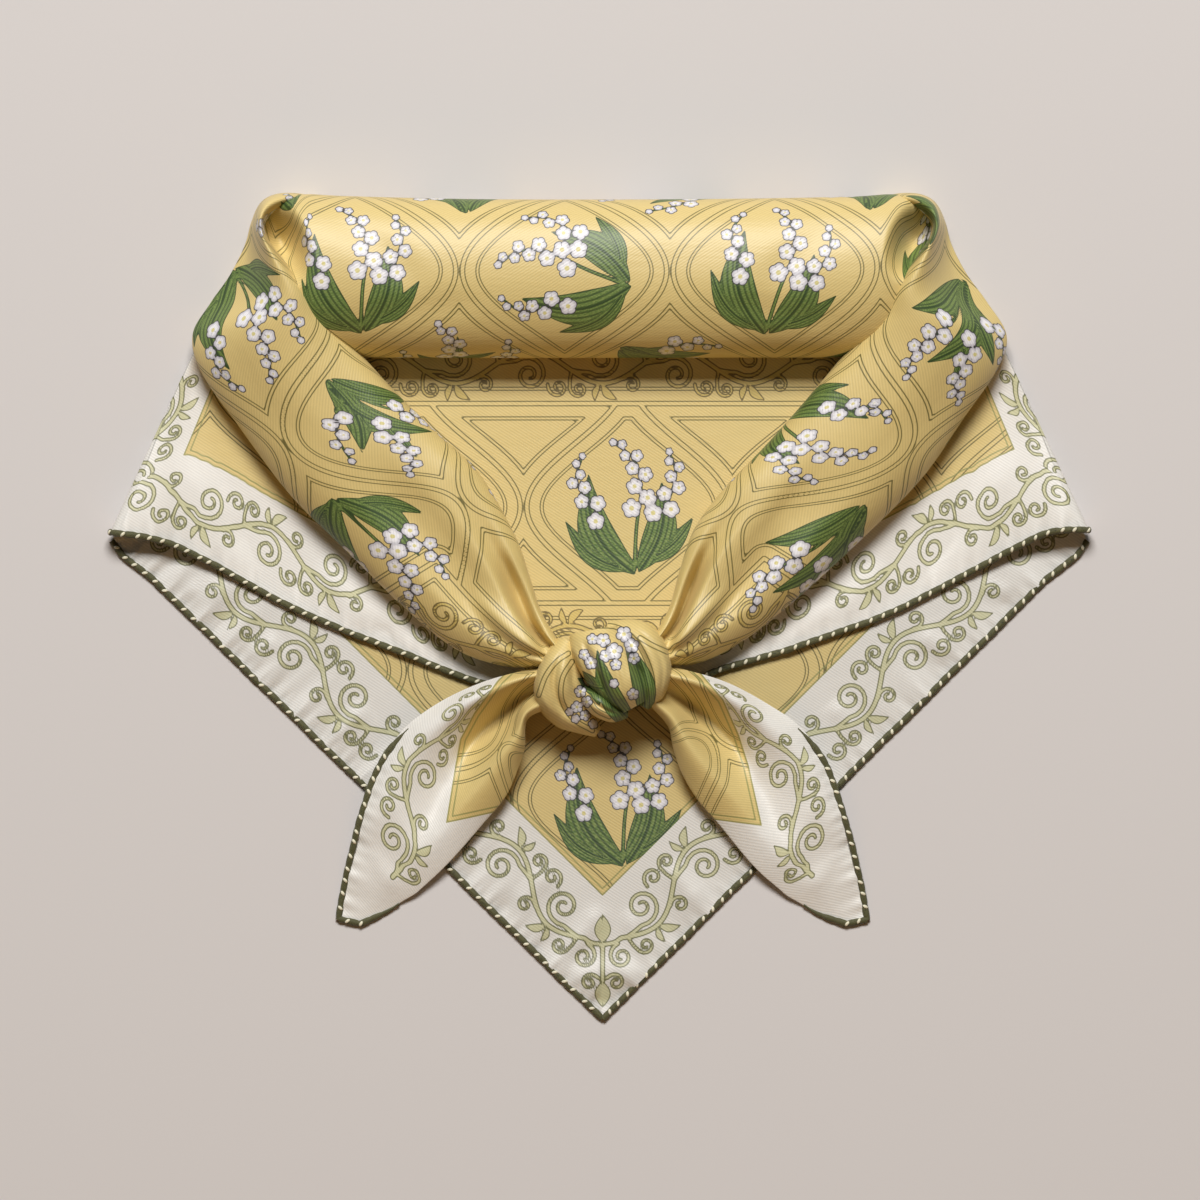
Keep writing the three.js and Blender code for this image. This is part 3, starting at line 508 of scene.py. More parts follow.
def trellis_print(u, v):
    """Distance to the middle of the trellis' nearest pair of lines."""
    phase = 2 * np.pi * v / CELL_ALONG
    nearest = np.full(u.shape, NOWHERE)
    middle = np.round(u / (CELL_ACROSS / 2))
    for k in (-1, 0, 1):
        index = middle + k
        sign = np.where(index % 2 == 0, 1, -1)
        centre = index * CELL_ACROSS / 2 + sign * TRELLIS_SWING * np.cos(phase)
        slope = TRELLIS_SWING * np.sin(phase) * 2 * np.pi / CELL_ALONG
        nearest = np.minimum(nearest, np.abs(u - centre) / np.sqrt(1 + slope ** 2))
    return nearest


def field_print(u, v, until=NOWHERE):
    """The gold field: an ogee trellis with a spray in each cell up to a length, half a drop apart."""
    out = no_print(u.shape)
    out["trellis"] = trellis_print(u, v)
    cells = ((CELL_ACROSS * 0.75, 0, 0), (CELL_ACROSS * 0.25, CELL_ALONG / 2, 1))
    for shift_u, shift_v, kind in cells:
        across = (u - shift_u) / CELL_ACROSS + 0.5
        down = (v - shift_v) / CELL_ALONG + 0.5
        pick = (3 * np.floor(across) + 5 * np.floor(down) + 4 * kind).astype(int) % len(SPRAY_TURNS)
        turn = SPRAY_TURNS[pick]
        cu = (across % 1 - 0.5) * CELL_ACROSS
        cv = (down % 1 - 0.5) * CELL_ALONG
        x = (cu * np.cos(turn) + cv * np.sin(turn)) * SPRAY_SCALE * (1, -1)[kind]
        y = (cv * np.cos(turn) - cu * np.sin(turn)) * SPRAY_SCALE
        part = spray(x, y, kind)
        clear_spray(part, np.floor(down) * CELL_ALONG + shift_v > until)
        lay_leaf(part["leaf"], part["rib"], out)
        nearer = part["bloom"] < out["bloom"]
        for name in ("bloom", "petal", "core"):
            out[name] = np.where(nearer, part[name], out[name])
    return out


def keep_spray(fields, x, y, centre):
    """Only the spray at one plan place, so that a border cuts none."""
    clear_spray(fields, np.hypot(x - centre[0], y - centre[1]) > SPRAY_CLEAR)


# The border's scroll, half a wave long; the other half is the same, turned over
WAVE = 62.0
MIDLINE = 20.0
VINE_FROM = 2  # least distance of the scroll from the edge
STEM = np.array([(WAVE / 24 * k, MIDLINE + 7 * np.sin(np.pi / 12 * k)) for k in range(13)])
VINE = [
    (STEM, 0.95, 0.95),
    (np.concatenate([[(2.5, 21.5), (5.5, 22)], spiral((15.5, 16.6), 135, -1.6, 8.2, 1.5)]), 0.8, 0.55),
    (spiral((27.6, 27.6), 215, 1.25, 4.2, 1.0, 18), 0.65, 0.5),
    (spiral((27.6, 11.4), 165, 1.25, 4.6, 1.0, 18), 0.65, 0.5),
    (np.concatenate([[(2.2, 21.8), (1.5, 25.6)], spiral((5.3, 29.4), 180, -1.2, 3.8, 1.0, 16)]), 0.65, 0.5),
]
SPRIGS = [((15, 27.5), (21.5, 34), 1.7), ((14, 27.5), (12, 34.5), 1.3)]


def scroll_shapes(x, y, strokes, sprigs):
    """Distance to the nearest of some tapered lines and small leaves, up to FAR."""
    shapes = [stroke(x, y, *line) for line in strokes] + [lens(x, y, *sprig)[0] for sprig in sprigs]
    return np.minimum(np.minimum.reduce(shapes), FAR)


def vine_print(s, d, first=None):
    """The border's scroll, by length along the edge and distance in from it, from a first half wave on."""
    best = np.full(s.shape, FAR)
    near = (d > VINE_FROM) & (d < BORDER)
    if first is not None:
        near &= s > (first - 0.4) * WAVE / 2
    half = np.floor(s[near] / (WAVE / 2))
    x = s[near] - half * WAVE / 2
    y = np.where(half % 2 == 1, 2 * MIDLINE - d[near], d[near])
    result = np.full(x.shape, FAR)
    for step in (0, 1, -1):
        part = scroll_shapes(x + step * WAVE / 2, 2 * MIDLINE - y if step else y, VINE, SPRIGS)
        if first is not None:
            part = np.where(half - step >= first, part, FAR)
        result = np.minimum(result, part)
    best[near] = result
    return best


# The corner's scroll, by distance in from each of its two edges; mirrored on the diagonal
CORNER = [
    (curve([(WAVE / 2, MIDLINE), (27.6, 20.7), (23.5, 23.5)], 12), 0.95, 0.85),
    (spiral((25.6, 14.4), 60, 1.45, 5.6, 1.2, 24), 0.75, 0.5),
    (curve([(23.5, 23.5), (18, 18), (12.5, 12.5)], 6), 0.9, 0.8),
    (spiral((16.2, 8.4), 110, -1.25, 4.2, 1.0, 18), 0.7, 0.5),
]
CORNER_SPRIGS = [((12.5, 12.5), (4.8, 4.8), 1.9), ((24, 24), (32.5, 32.5), 1.9)]
CORNER_REACH = 46.0  # of the corner's scroll, in from each edge
CORNER_OUT = 4


def corner_print(a, b):
    """The corner's scroll, by distance in from each of its two edges."""
    best = np.full(a.shape, FAR)
    near = (np.maximum(a, b) < CORNER_REACH) & (np.minimum(a, b) > -CORNER_OUT)
    sides = (a[near], b[near]), (b[near], a[near])
    best[near] = np.minimum(*(scroll_shapes(x, y, CORNER, CORNER_SPRIGS) for x, y in sides))
    return best


# Meshes

def new_object(name, data):
    thing = bpy.data.objects.new(name, data)
    bpy.context.scene.collection.objects.link(thing)
    return thing


def grid_mesh(name, points, cloth, fields, wrap=False):
    """A piece from a grid of points, with the flat cloth's coordinates and the print on it."""
    rows, columns = points.shape[:2]
    index = np.arange(rows * columns).reshape(rows, columns)
    right = np.roll(index, -1, axis=1) if wrap else index[:, 1:]
    left = index if wrap else index[:, :-1]
    quads = np.stack([left[:-1], left[1:], right[1:], right[:-1]], -1).reshape(-1, 4)
    mesh = bpy.data.meshes.new(name)
    mesh.vertices.add(rows * columns)
    mesh.vertices.foreach_set("co", (points.reshape(-1, 3) * MM).ravel())
    mesh.loops.add(quads.size)
    mesh.loops.foreach_set("vertex_index", quads.ravel())
    mesh.polygons.add(len(quads))
    mesh.polygons.foreach_set("loop_start", np.arange(0, quads.size, 4))
    mesh.polygons.foreach_set("use_smooth", np.ones(len(quads), bool))
    mesh.update(calc_edges=True)
    flat = (cloth.reshape(-1, 2) * MM)[quads.ravel()]
    mesh.uv_layers.new(name="cloth").data.foreach_set("uv", flat.ravel())
    for field, values in fields.items():
        layer = mesh.attributes.new(field, "FLOAT", "POINT")
        layer.data.foreach_set("value", np.asarray(values, np.float32).ravel())
    return new_object(name, mesh)


def facing_up(points):
    """Whether the faces on the upper side of a grid point up."""
    a = points[1:, :-1] - points[:-1, :-1]
    b = points[:-1, 1:] - points[:-1, :-1]
    up = np.cross(a, b)[..., 2]
    weight = np.where(points[:-1, :-1, 2] > np.median(points[..., 2]), 1, 0.01)
    return (up * weight).sum() > 0


# Surfaces

def rounded(outer, inner, low, high, crest_at, angles, powers=(SECTION_POWER, SECTION_POWER)):
    """Sections of a rounded form over a flat base, with the place across and lift of each point."""
    c, s = np.cos(angles)[None], np.sin(angles)[None]
    power = mix(powers[1], powers[0], smooth(0.5 + 1.5 * c))
    lean = (np.log(crest_at) / np.log(0.5))[:, None]
    low, high = low[:, None], high[:, None]
    middle = mix(low, high, WIDEST_AT)
    even = 0.5 - 0.5 * np.sign(c) * np.abs(c) ** power
    place = np.where(s > 0, even ** lean, even)
    lift = np.abs(s) ** power
    above = mix(middle, high, lift)
    below = np.maximum(low, mix(middle, low, lift * (1 + BASE_SINK)))
    z = np.where(s > 0, above, below)
    x = mix(outer[:, :1], inner[:, :1], place)
    y = mix(outer[:, 1:], inner[:, 1:], place)
    return np.stack([x, y, z], -1), place, np.where(s > 0, lift, 0)


def ring_angles(count):
    """Angles round a section from below to below, even over the top and wide underneath."""
    fine = np.linspace(-0.25, np.pi + 0.25, FINE)
    c, s = np.cos(fine), np.sin(fine)
    path = np.stack([np.sign(c) * np.abs(c) ** SECTION_POWER, np.abs(s) ** SECTION_POWER], 1)
    run = run_length(path)
    over = np.interp(np.linspace(0, run[-1], count), run, fine)
    before = np.linspace(-np.pi / 2 + 0.02, over[0], UNDERNEATH + 1)[:-1]
    return np.concatenate([before, over, np.pi - before[::-1]])


def pocket_depth(points):
    """Depth of the hollows at the roll's two ends."""
    x, y = plan(points)
    depth = np.zeros_like(x)
    for p in rows_of(POCKETS):
        dx, dy = x - p["x"], y - p["y"]
        u = (dx * np.cos(p["lean"]) + dy * np.sin(p["lean"])) / p["across"]
        v = (dy * np.cos(p["lean"]) - dx * np.sin(p["lean"])) / p["along"]
        depth += p["depth"] * (1 - smooth(np.hypot(u, v)))
    return depth


def roll_surface():
    rows, ring = ROLL_GRID
    x = ROLL["x"]
    t = even_places(rows, (x, ROLL["front"]))
    back, front = path_at(t, x, ROLL["back"]), path_at(t, x, ROLL["front"])
    low = 0 * along(x, t)
    crest = along(ROLL["crest"], t)
    points, _, lift = rounded(back, front, low, crest, low + ROLL_CREST, ring_angles(ring))
    points[..., 2] -= (pocket_depth(points) - fold_field(points, ROLL_FOLDS)) * lift
    return points


def crease_depth(place, t):
    """Depth of the creases that run into the knot, by place across an arm and along it."""
    depth = np.zeros_like(place)
    for c in rows_of(ARM_CREASES):
        run = np.maximum(0, (t - c["begin"]) / (1 - c["begin"]))
        centre = mix(c["start"], c["end"], run)
        depth += c["depth"] * smooth(run * 1.6) * (1 - smooth(np.abs(place - centre) / c["half"]))
    return depth


def arm_surface(arm):
    rows, ring = ARM_GRID
    sides = (arm["ox"], arm["oy"]), (arm["ix"], arm["iy"])
    t = even_places(rows, *sides)
    outer, inner = (path_at(t, *side) for side in sides)
    low = np.maximum(0, along(arm["low"], t))
    crest, at = along(arm["crest"], t), along(arm["at"], t)
    below_shoulder = smooth((t - SHOULDER) * 6)[:, None]
    powers = [mix(SECTION_POWER, power, below_shoulder) for power in ARM_POWERS]
    points, place, lift = rounded(outer, inner, low, crest, at, ring_angles(ring), powers)
    points[..., 2] -= (crease_depth(place, t[:, None]) - fold_field(points, ARM_FOLDS)) * lift
    return points


def closed_end(section):
    """Rows that draw a turn's end in to its middle, from the middle out."""
    middle = section.mean(axis=0)
    return np.stack([mix(middle, section, k) for k in (0.02, 0.35, 0.7, 0.95)])


def knot_surface(lobe):
    rows, ring = KNOT_GRID
    t = np.linspace(0, 1, rows)
    x, y, half, low, high = (along(lobe[name], t)[:, None] for name in KNOT_COLUMNS.split())
    run = unit(np.concatenate([np.gradient(x, axis=0), np.gradient(y, axis=0)], 1))
    angles = np.linspace(-np.pi / 2 + 0.03, 1.5 * np.pi - 0.03, ring)
    c = np.cos(angles)
    across = half * np.sign(c) * np.abs(c) ** SECTION_POWER
    lift = 0.5 + 0.5 * np.sin(angles)
    points = np.stack([x - run[:, 1:] * across, y + run[:, :1] * across, mix(low, high, lift)], -1)
    points[..., 2] += fold_field(points, KNOT_FOLDS) * smooth(lift * 2 - 0.6)
    return np.concatenate([closed_end(points[0]), points, closed_end(points[-1])[::-1]])


def tail_section(tail, t, outer_inset, inner_inset, s):
    """Points of a tail at t down it and s across it, with its edges moved in."""
    get = {name: along(tail[name], t)[:, None] for name in tail}
    width = np.hypot(get["ox"] - get["ix"], get["oy"] - get["iy"])
    t, outer_inset, inner_inset = t[:, None], outer_inset[:, None], inner_inset[:, None]
    tuck = TAIL_TUCK * (1 - smooth((t - TAIL_UNTUCKS) * 6)) / width
    run = smooth(t * 2)
    places = [
        outer_inset / width, mix(*TAIL_RIDGE, run), mix(*TAIL_VALLEY, run), mix(*TAIL_LOBE, run),
        1 - tuck * 0.15 - inner_inset / width, 1 - tuck - 1.2 * inner_inset / width,
    ]
    side = mix(get["lobe"], get["inner"], 0.7)
    under = np.maximum(CLOTH / 2, mix(get["lobe"], get["inner"], 1.1))
    heights = [get["edge"], get["ridge"], get["valley"], get["lobe"], side, under]
    place = along(np.concatenate(places, 1), s)
    z = along(np.concatenate(heights, 1), s)
    return np.stack([mix(get["ox"], get["ix"], place), mix(get["oy"], get["iy"], place), z], -1)


def tail_surface(tail):
    rows, columns = TAIL_GRID
    edge = HEM_WIDTH / 2
    long = np.hypot(tail["ox"][0] - tail["ox"][-1], tail["oy"][0] - tail["oy"][-1])
    t = even_places(rows, (tail["ox"], tail["oy"])) * (1 - edge / long)
    outer_inset = edge * smooth((t - TAIL_HEM_FROM) / (TAIL_HEM_FULL - TAIL_HEM_FROM))
    inner_inset = edge * smooth((t - TAIL_END_HEM_TO + 0.06) / 0.06)
    s = np.interp(np.linspace(0, TAIL_KNOTS[-1], columns), TAIL_KNOTS, np.linspace(0, 1, len(TAIL_KNOTS)))
    points = tail_section(tail, t, outer_inset, inner_inset, s)
    points[..., 2] += fold_field(points, TAIL_FOLDS) * smooth(points[..., 2] / 5)
    ripple = hem_ripple(run_length(points)[:, :1], run_length(points, 1))
    points[:, 1:, 2] += ripple[:, 1:] * smooth(t * 3 - 1)[:, None]
    return points


def hem_height(x):
    """Y of the upper layer's hem at x."""
    fine = np.linspace(0, 1, 1500)
    return np.interp(x, along(UPPER_HEM["x"], fine), along(UPPER_HEM["y"], fine))


BETWEEN_LAYERS = 0.35
BEND_REACH = (70, 12)  # in from a side fold, until the layer lies flat, at the tip and higher up


def panel_rows(v, side, inset):
    """Half of the upper layer, from the underside of a side fold to the middle, at each v."""
    radius = mix(BEND_AT_TIP, BEND_AT_TOP, smooth(v * 1.4))[:, None]
    reach = mix(*BEND_REACH, smooth(v * 1.3))[:, None]
    rest = CLOTH * 1.5 + BETWEEN_LAYERS
    angle = np.linspace(-np.pi / 2, np.pi / 2, BEND_POINTS + 1)[None, :-1]
    bend = radius * (1 - np.cos(angle)) + CLOTH / 2
    bend_z = rest + radius * (1 + np.sin(angle))
    inward = np.linspace(0, 1, UPPER_GRID[1])[None] * (TIP_X - radius)
    fall = 1 - smooth(inward / reach)
    distance = np.concatenate([bend, radius + inward], 1)
    z = np.concatenate([bend_z, rest + 2 * radius * fall ** 2], 1)
    s = side * (1 - distance / TIP_X)
    hem_x, hem_y = TIP_X * s, hem_height(TIP_X * s)
    top_x, top_y = FOLD_TOP_X * s, NECK_TOP_Y
    long = np.hypot(hem_x - top_x, hem_y - top_y)
    back = (1 - v[:, None]) * (1 - inset / long)
    return np.stack([mix(top_x, hem_x, back), mix(top_y, hem_y, back), z], -1), distance


def upper_surface(inset):
    """Points of the upper layer, and their distance round its side folds."""
    v = np.linspace(0, 1, UPPER_GRID[0])
    (left, distance), (right, _) = (panel_rows(v, side, inset) for side in (-1, 1))
    points = np.concatenate([left, right[:, -2::-1]], 1)
    fold = np.concatenate([distance, distance[:, -2::-1]], 1)
    top = np.ones(points.shape[1])
    top[:BEND_POINTS] = 0
    top[-BEND_POINTS:] = 0
    points[..., 2] += fold_field(points, UPPER_FOLDS) * top
    points[1:, :, 2] += (hem_ripple(points[..., 0], run_length(points)) * top)[1:]
    points[..., 2] = np.maximum(points[..., 2], ABOVE_UNDER)
    return points, fold


def under_edge(side, distance):
    """The under layer's edge on one side, moved in."""
    x, y = UNDER_EDGE["x"], UNDER_EDGE["y"]
    i = np.arange(len(x))
    before, after = np.maximum(i - 1, 0), np.minimum(i + 1, len(x) - 1)
    run = unit(np.stack([x[after] - x[before], y[after] - y[before]], 1))
    edge = np.stack([-side * (x - run[:, 1] * distance), y + run[:, 0] * distance], 1)
    edge[-1] = POINT_X, POINT_Y + distance * np.sqrt(2)
    return edge


def from_under_edges(x, y):
    """Distances in from the under layer's left and right edge, which meet square at the point."""
    half = np.sqrt(0.5)
    return ((x - POINT_X) + (y - POINT_Y)) * half, (-(x - POINT_X) + (y - POINT_Y)) * half


UNDER_NARROWER = 2  # at its top, on each side
UNDER_ROWS = (0.48, 168, 12)  # share of the way to the top with fine rows, and rows in each share
UNDER_LIFT = (0.5, 17)  # height and reach of the rise to its hem
UNDER_LEAST = 0.3  # over the table


def under_surface(inset):
    left = spaced(under_edge(-1, inset), UNDER_STEP)
    right = spaced(under_edge(1, inset), UNDER_STEP)[::-1][1:]
    hem = np.concatenate([left, right])
    top = FOLD_TOP_X - UNDER_NARROWER
    top_x = np.linspace(-top, top, len(hem))
    fine, lower, upper = UNDER_ROWS
    v = np.concatenate([np.linspace(0, fine, lower), np.linspace(fine, 1, upper)[1:]])[:, None]
    x, y = mix(hem[None, :, 0], top_x[None], v), mix(hem[None, :, 1], NECK_TOP_Y, v)
    left, right = from_under_edges(x, y)
    nearer = np.minimum(left, right)
    ripple = hem_ripple(np.maximum(left, right) * (1 + (x < 0)), nearer)
    lifted = UNDER_LIFT[0] * np.exp(-(nearer / UNDER_LIFT[1]) ** 2)
    z = CLOTH / 2 + lifted + fold_field(np.stack([x, y], -1), UNDER_FOLDS) + ripple
    return np.stack([x, y, np.maximum(UNDER_LEAST, z)], -1)


# Silk and thread

def linear(r, g, b):
    """A colour from its picture values, 0 to 255."""
    c = np.array([r, g, b]) / 255
    c = np.where(c <= 0.04045, c / 12.92, ((c + 0.055) / 1.055) ** 2.4)
    return (*c, 1)


class Nodes:
    """Short calls for one material's nodes."""

    def __init__(self, name):
        self.material = bpy.data.materials.new(name)
        self.material.use_nodes = True
        self.tree = self.material.node_tree
        self.shader = self.tree.nodes["Principled BSDF"]

    def fill(self, node, inputs):
        """Sets inputs to numbers and colours, or links them to other nodes' outputs."""
        for name, value in inputs.items():
            if isinstance(value, bpy.types.NodeSocket):
                self.tree.links.new(value, node.inputs[name])
            else:
                node.inputs[name].default_value = value

    def node(self, kind, output, inputs, **settings):
        node = self.tree.nodes.new("ShaderNode" + kind)
        for name, value in settings.items():
            setattr(node, name, value)
        self.fill(node, inputs)
        return node.outputs[output]

    def math(self, operation, a, b=0.0):
        return self.node("Math", 0, {0: a, 1: b}, operation=operation)

    def times(self, a, b):
        return self.math("MULTIPLY", a, b)

    def field(self, name):
        return self.node("Attribute", "Fac", {}, attribute_name=name)

    def below(self, value, limit, soft=0.12):
        """1 where a value is under a limit, 0 above, with a soft edge."""
        ends = {"From Min": limit - soft, "From Max": limit + soft, "To Min": 1, "To Max": 0}
        return self.node("MapRange", "Result", {"Value": value, **ends}, interpolation_type="SMOOTHSTEP")

    def line(self, value, half, soft=0.14):
        """1 on a line where a value is 0, and 0 beside it."""
        return self.below(self.math("ABSOLUTE", value), half, soft)

    def blend(self, factor, a, b, kind="MIX"):
        inputs = {"Factor": factor, "A": a, "B": b}
        return self.node("Mix", "Result", inputs, data_type="RGBA", blend_type=kind)

    def noise(self, scale, detail=2.0):
        return self.node("TexNoise", "Fac", {"Scale": scale, "Detail": detail})

    def cloth_map(self):
        """The flat cloth's two coordinates, in metres."""
        place = self.node("UVMap", "UV", {}, uv_map="cloth")
        return [self.node("SeparateXYZ", axis, {0: place}) for axis in "XY"]

    def shaded(self, colour, shade):
        """A colour times a grey."""
        grey = self.node("CombineColor", "Color", dict.fromkeys(("Red", "Green", "Blue"), shade))
        return self.blend(1.0, colour, grey, "MULTIPLY")

    def bump(self, height, strength, distance):
        return self.node("Bump", "Normal", {"Strength": strength, "Distance": distance, "Height": height})

    def surface(self, looks):
        """The material, with its shader's inputs."""
        self.fill(self.shader, looks)
        return self.material


GOLD = linear(225, 201, 133)
CREAM = linear(238, 235, 229)
TRELLIS_LINE = linear(98, 92, 40)
SCROLL_FILL = linear(214, 212, 172)
SCROLL_FILL_ON_GOLD = linear(214, 190, 112)
SCROLL_LINE = linear(98, 100, 46)
SCROLL_LINE_ON_GOLD = linear(92, 78, 34)
EDGE_LINE = linear(146, 148, 88)
LEAF = linear(94, 122, 56)
LEAF_DARK = linear(50, 74, 34)
LEAF_LIGHT = linear(132, 152, 82)
PETAL = linear(246, 244, 248)
PETAL_SHADE = linear(206, 204, 212)
PETAL_LINE = linear(60, 58, 62)
CORE = linear(226, 216, 150)
LEAF_RIBS = 21.0  # angle of the ribs' sine at a leaf's rim, in radians
TWILL_PITCH = 1.1
TWILL_LEAN = 1.6  # of the ribs, along the cloth for each step across
TWILL_STEP = 1.89  # length of such a step
TWILL_SHADE = 0.06
MOTTLE_SHADE = 0.05
TRELLIS_LINES = (0.95, 5.6, 6.9)  # from the middle of the trellis' pair, its own and those in each cell
EDGE_LINES = (0.3, 2.2)  # into the gold, from the border
LINE_HALF = 0.24


def silk_print(n):
    """The colour of the print, from the fields on the mesh."""
    gold, scroll, trellis, leaf, rib = map(n.field, ("gold", "scroll", "trellis", "leaf", "rib"))
    bloom, petal, core = map(n.field, ("bloom", "petal", "core"))
    cream_side = n.below(gold, 0.0)
    on_gold = n.math("SUBTRACT", 1.0, cream_side)
    colour = n.blend(cream_side, GOLD, CREAM)

    # Pairs of thin lines
    for offset in TRELLIS_LINES:
        line = n.line(n.math("SUBTRACT", trellis, offset), LINE_HALF)
        colour = n.blend(n.times(line, n.times(on_gold, 0.9)), colour, TRELLIS_LINE)
    for offset in EDGE_LINES:
        line = n.line(n.math("SUBTRACT", gold, offset), LINE_HALF + 0.08)
        colour = n.blend(n.times(line, 0.8), colour, EDGE_LINE)

    # Scrolls
    fill = n.blend(cream_side, SCROLL_FILL_ON_GOLD, SCROLL_FILL)
    edge = n.blend(cream_side, SCROLL_LINE_ON_GOLD, SCROLL_LINE)
    colour = n.blend(n.below(scroll, 0.0), colour, fill)
    colour = n.blend(n.times(n.line(scroll, 0.26), 0.85), colour, edge)

    # Leaves with ribs along them
    stripe = n.math("SINE", n.times(rib, LEAF_RIBS))
    leaf_tone = n.blend(n.below(n.noise(300.0, 3.0), 0.5, 0.1), LEAF_LIGHT, LEAF)
    leaf_tone = n.blend(n.times(n.below(stripe, -0.25, 0.5), 0.75), leaf_tone, LEAF_DARK)
    leaf_tone = n.blend(n.line(rib, 0.07, 0.04), leaf_tone, LEAF_DARK)
    colour = n.blend(n.times(n.below(leaf, 0.0), on_gold), colour, leaf_tone)
    colour = n.blend(n.times(n.line(leaf, 0.24), on_gold), colour, LEAF_DARK)

    # Blossoms
    petal_tone = n.blend(n.below(bloom, -1.2, 0.9), PETAL_SHADE, PETAL)
    petal_tone = n.blend(n.below(core, 0.0, 0.2), petal_tone, CORE)
    petal_tone = n.blend(n.times(n.below(petal, 0.26, 0.2), 0.6), petal_tone, PETAL_LINE)
    colour = n.blend(n.times(n.below(bloom, 0.0), on_gold), colour, petal_tone)
    return n.blend(n.times(n.line(bloom, 0.22), on_gold), colour, PETAL_LINE)


def silk_material(name, tone):
    """Printed silk twill: the print, a fine diagonal rib with painted shade along it, a faint unevenness and
    a soft sheen.
    """
    n = Nodes(name)
    colour = silk_print(n)
    across, down = n.cloth_map()
    slant = n.math("ADD", across, n.times(down, TWILL_LEAN))
    twill = n.math("SINE", n.times(slant, 2 * np.pi * 1000 / (TWILL_PITCH * TWILL_STEP)))
    mottle = n.noise(34.0, 3.0)
    # The tone scales the colour; stripes along the twill's ribs darken and lighten it as painted shade.
    shade = n.math("ADD", tone, n.times(twill, TWILL_SHADE))
    shade = n.math("ADD", shade, n.times(n.math("SUBTRACT", mottle, 0.5), MOTTLE_SHADE))
    return n.surface({
        "Base Color": n.shaded(colour, shade),
        "Normal": n.bump(n.math("ADD", twill, n.times(mottle, 6.0)), 0.22, 0.00008),
        "Roughness": 0.5, "Specular IOR Level": 0.8,
        "Sheen Weight": 0.12, "Sheen Roughness": 0.35, "Sheen Tint": linear(255, 238, 200),
    })


def hem_material():
    n = Nodes("rolled_hem")
    tone = n.noise(900.0, 3.0)
    colour = n.blend(n.below(tone, 0.5, 0.2), linear(104, 102, 60), linear(64, 63, 34))
    colour = n.blend(n.below(n.noise(120.0), 0.42, 0.12), colour, linear(46, 46, 25))
    bump = n.bump(tone, 0.4, 0.0003)
    return n.surface({"Base Color": colour, "Normal": bump, "Roughness": 0.6, "Sheen Weight": 0.2})


def thread_material():
    n = Nodes("cream_thread")
    tone = n.noise(1500.0)
    colour = n.blend(n.below(tone, 0.5, 0.25), linear(244, 240, 216), linear(222, 216, 188))
    bump = n.bump(tone, 0.3, 0.0002)
    return n.surface({"Base Color": colour, "Normal": bump, "Roughness": 0.7, "Sheen Weight": 0.3})


SILK = silk_material("printed_silk", 0.95)
SHADE_PAINTED_SILK = silk_material("printed_silk_painted_shade", 0.81)  # the single under layer, its colour darkened as painted shade
HEM = hem_material()
THREAD = thread_material()


# Pieces

def dress(piece, material, slot, *nodes):
    piece.data.materials.append(material)
    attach(piece, "root")
    if nodes:
        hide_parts(*nodes)
    return piece


def turned(points, cloth, fields):
    """The same grid with its faces towards the light."""
    if facing_up(points):
        return points, cloth, fields
    return points[::-1], cloth[::-1], {name: values[::-1] for name, values in fields.items()}


def cloth_piece(name, node, slot, points, cloth, fields, material=SILK):
    points, cloth, fields = turned(points, cloth, fields)
    return dress(grid_mesh(name, points, cloth, fields), material, slot, node)


def all_gold(fields):
    fields["gold"] = np.full(fields["trellis"].shape, ALL_GOLD)
    return fields


def tube_lengths(points):
    """Lengths along a rolled stretch, and around it from the middle of its top."""
    middle = points.shape[1] // 2
    around = run_length(points, 1)
    v = around - around[:, middle:middle + 1]
    return run_length(points[:, middle:middle + 1]) + 0 * v, v


ROLL_SHIFT = 14.0  # of the roll's print along it


def add_roll():
    points = roll_surface()
    u, v = tube_lengths(points)
    fields = all_gold(field_print(u + ROLL_SHIFT, -v))
    piece = cloth_piece("roll", "back_roll", "silk_gold", points, np.stack([u, v], -1), fields)


ARM_SCROLL = 66.0  # length of the border's scroll that shows on each arm by the knot
ARM_SCROLL_AT = -3.0  # its frame, from the middle of the arm's top
ARM_SCROLL_INSET = (4, 3)  # of the scroll in its frame, along and across


def scroll_by_knot(fields, u, v):
    """The border's scroll on the outer side of an arm's end, within a frame of lines."""
    down, out = u - u.max() + ARM_SCROLL, ARM_SCROLL_AT - v
    inside = (down > 0) & (out > 0)
    frame = np.where(inside, np.minimum(down, out), np.hypot(np.minimum(down, 0), np.minimum(out, 0)))
    vine = vine_print(down - ARM_SCROLL_INSET[0], out + ARM_SCROLL_INSET[1], 0)
    fields["scroll"] = np.where(inside, vine, FAR)
    fields["trellis"] = np.where(inside, frame, np.minimum(fields["trellis"], frame))


def add_arm(name, node, arm, shift_across, shift_down):
    points = arm_surface(arm)
    u, v = tube_lengths(points)
    until = u.max() + shift_down - ARM_SCROLL / 2
    fields = all_gold(field_print(v + shift_across, u + shift_down, until))
    scroll_by_knot(fields, u, v)
    piece = cloth_piece(name, node, "silk_gold", points, np.stack([u, v], -1), fields)


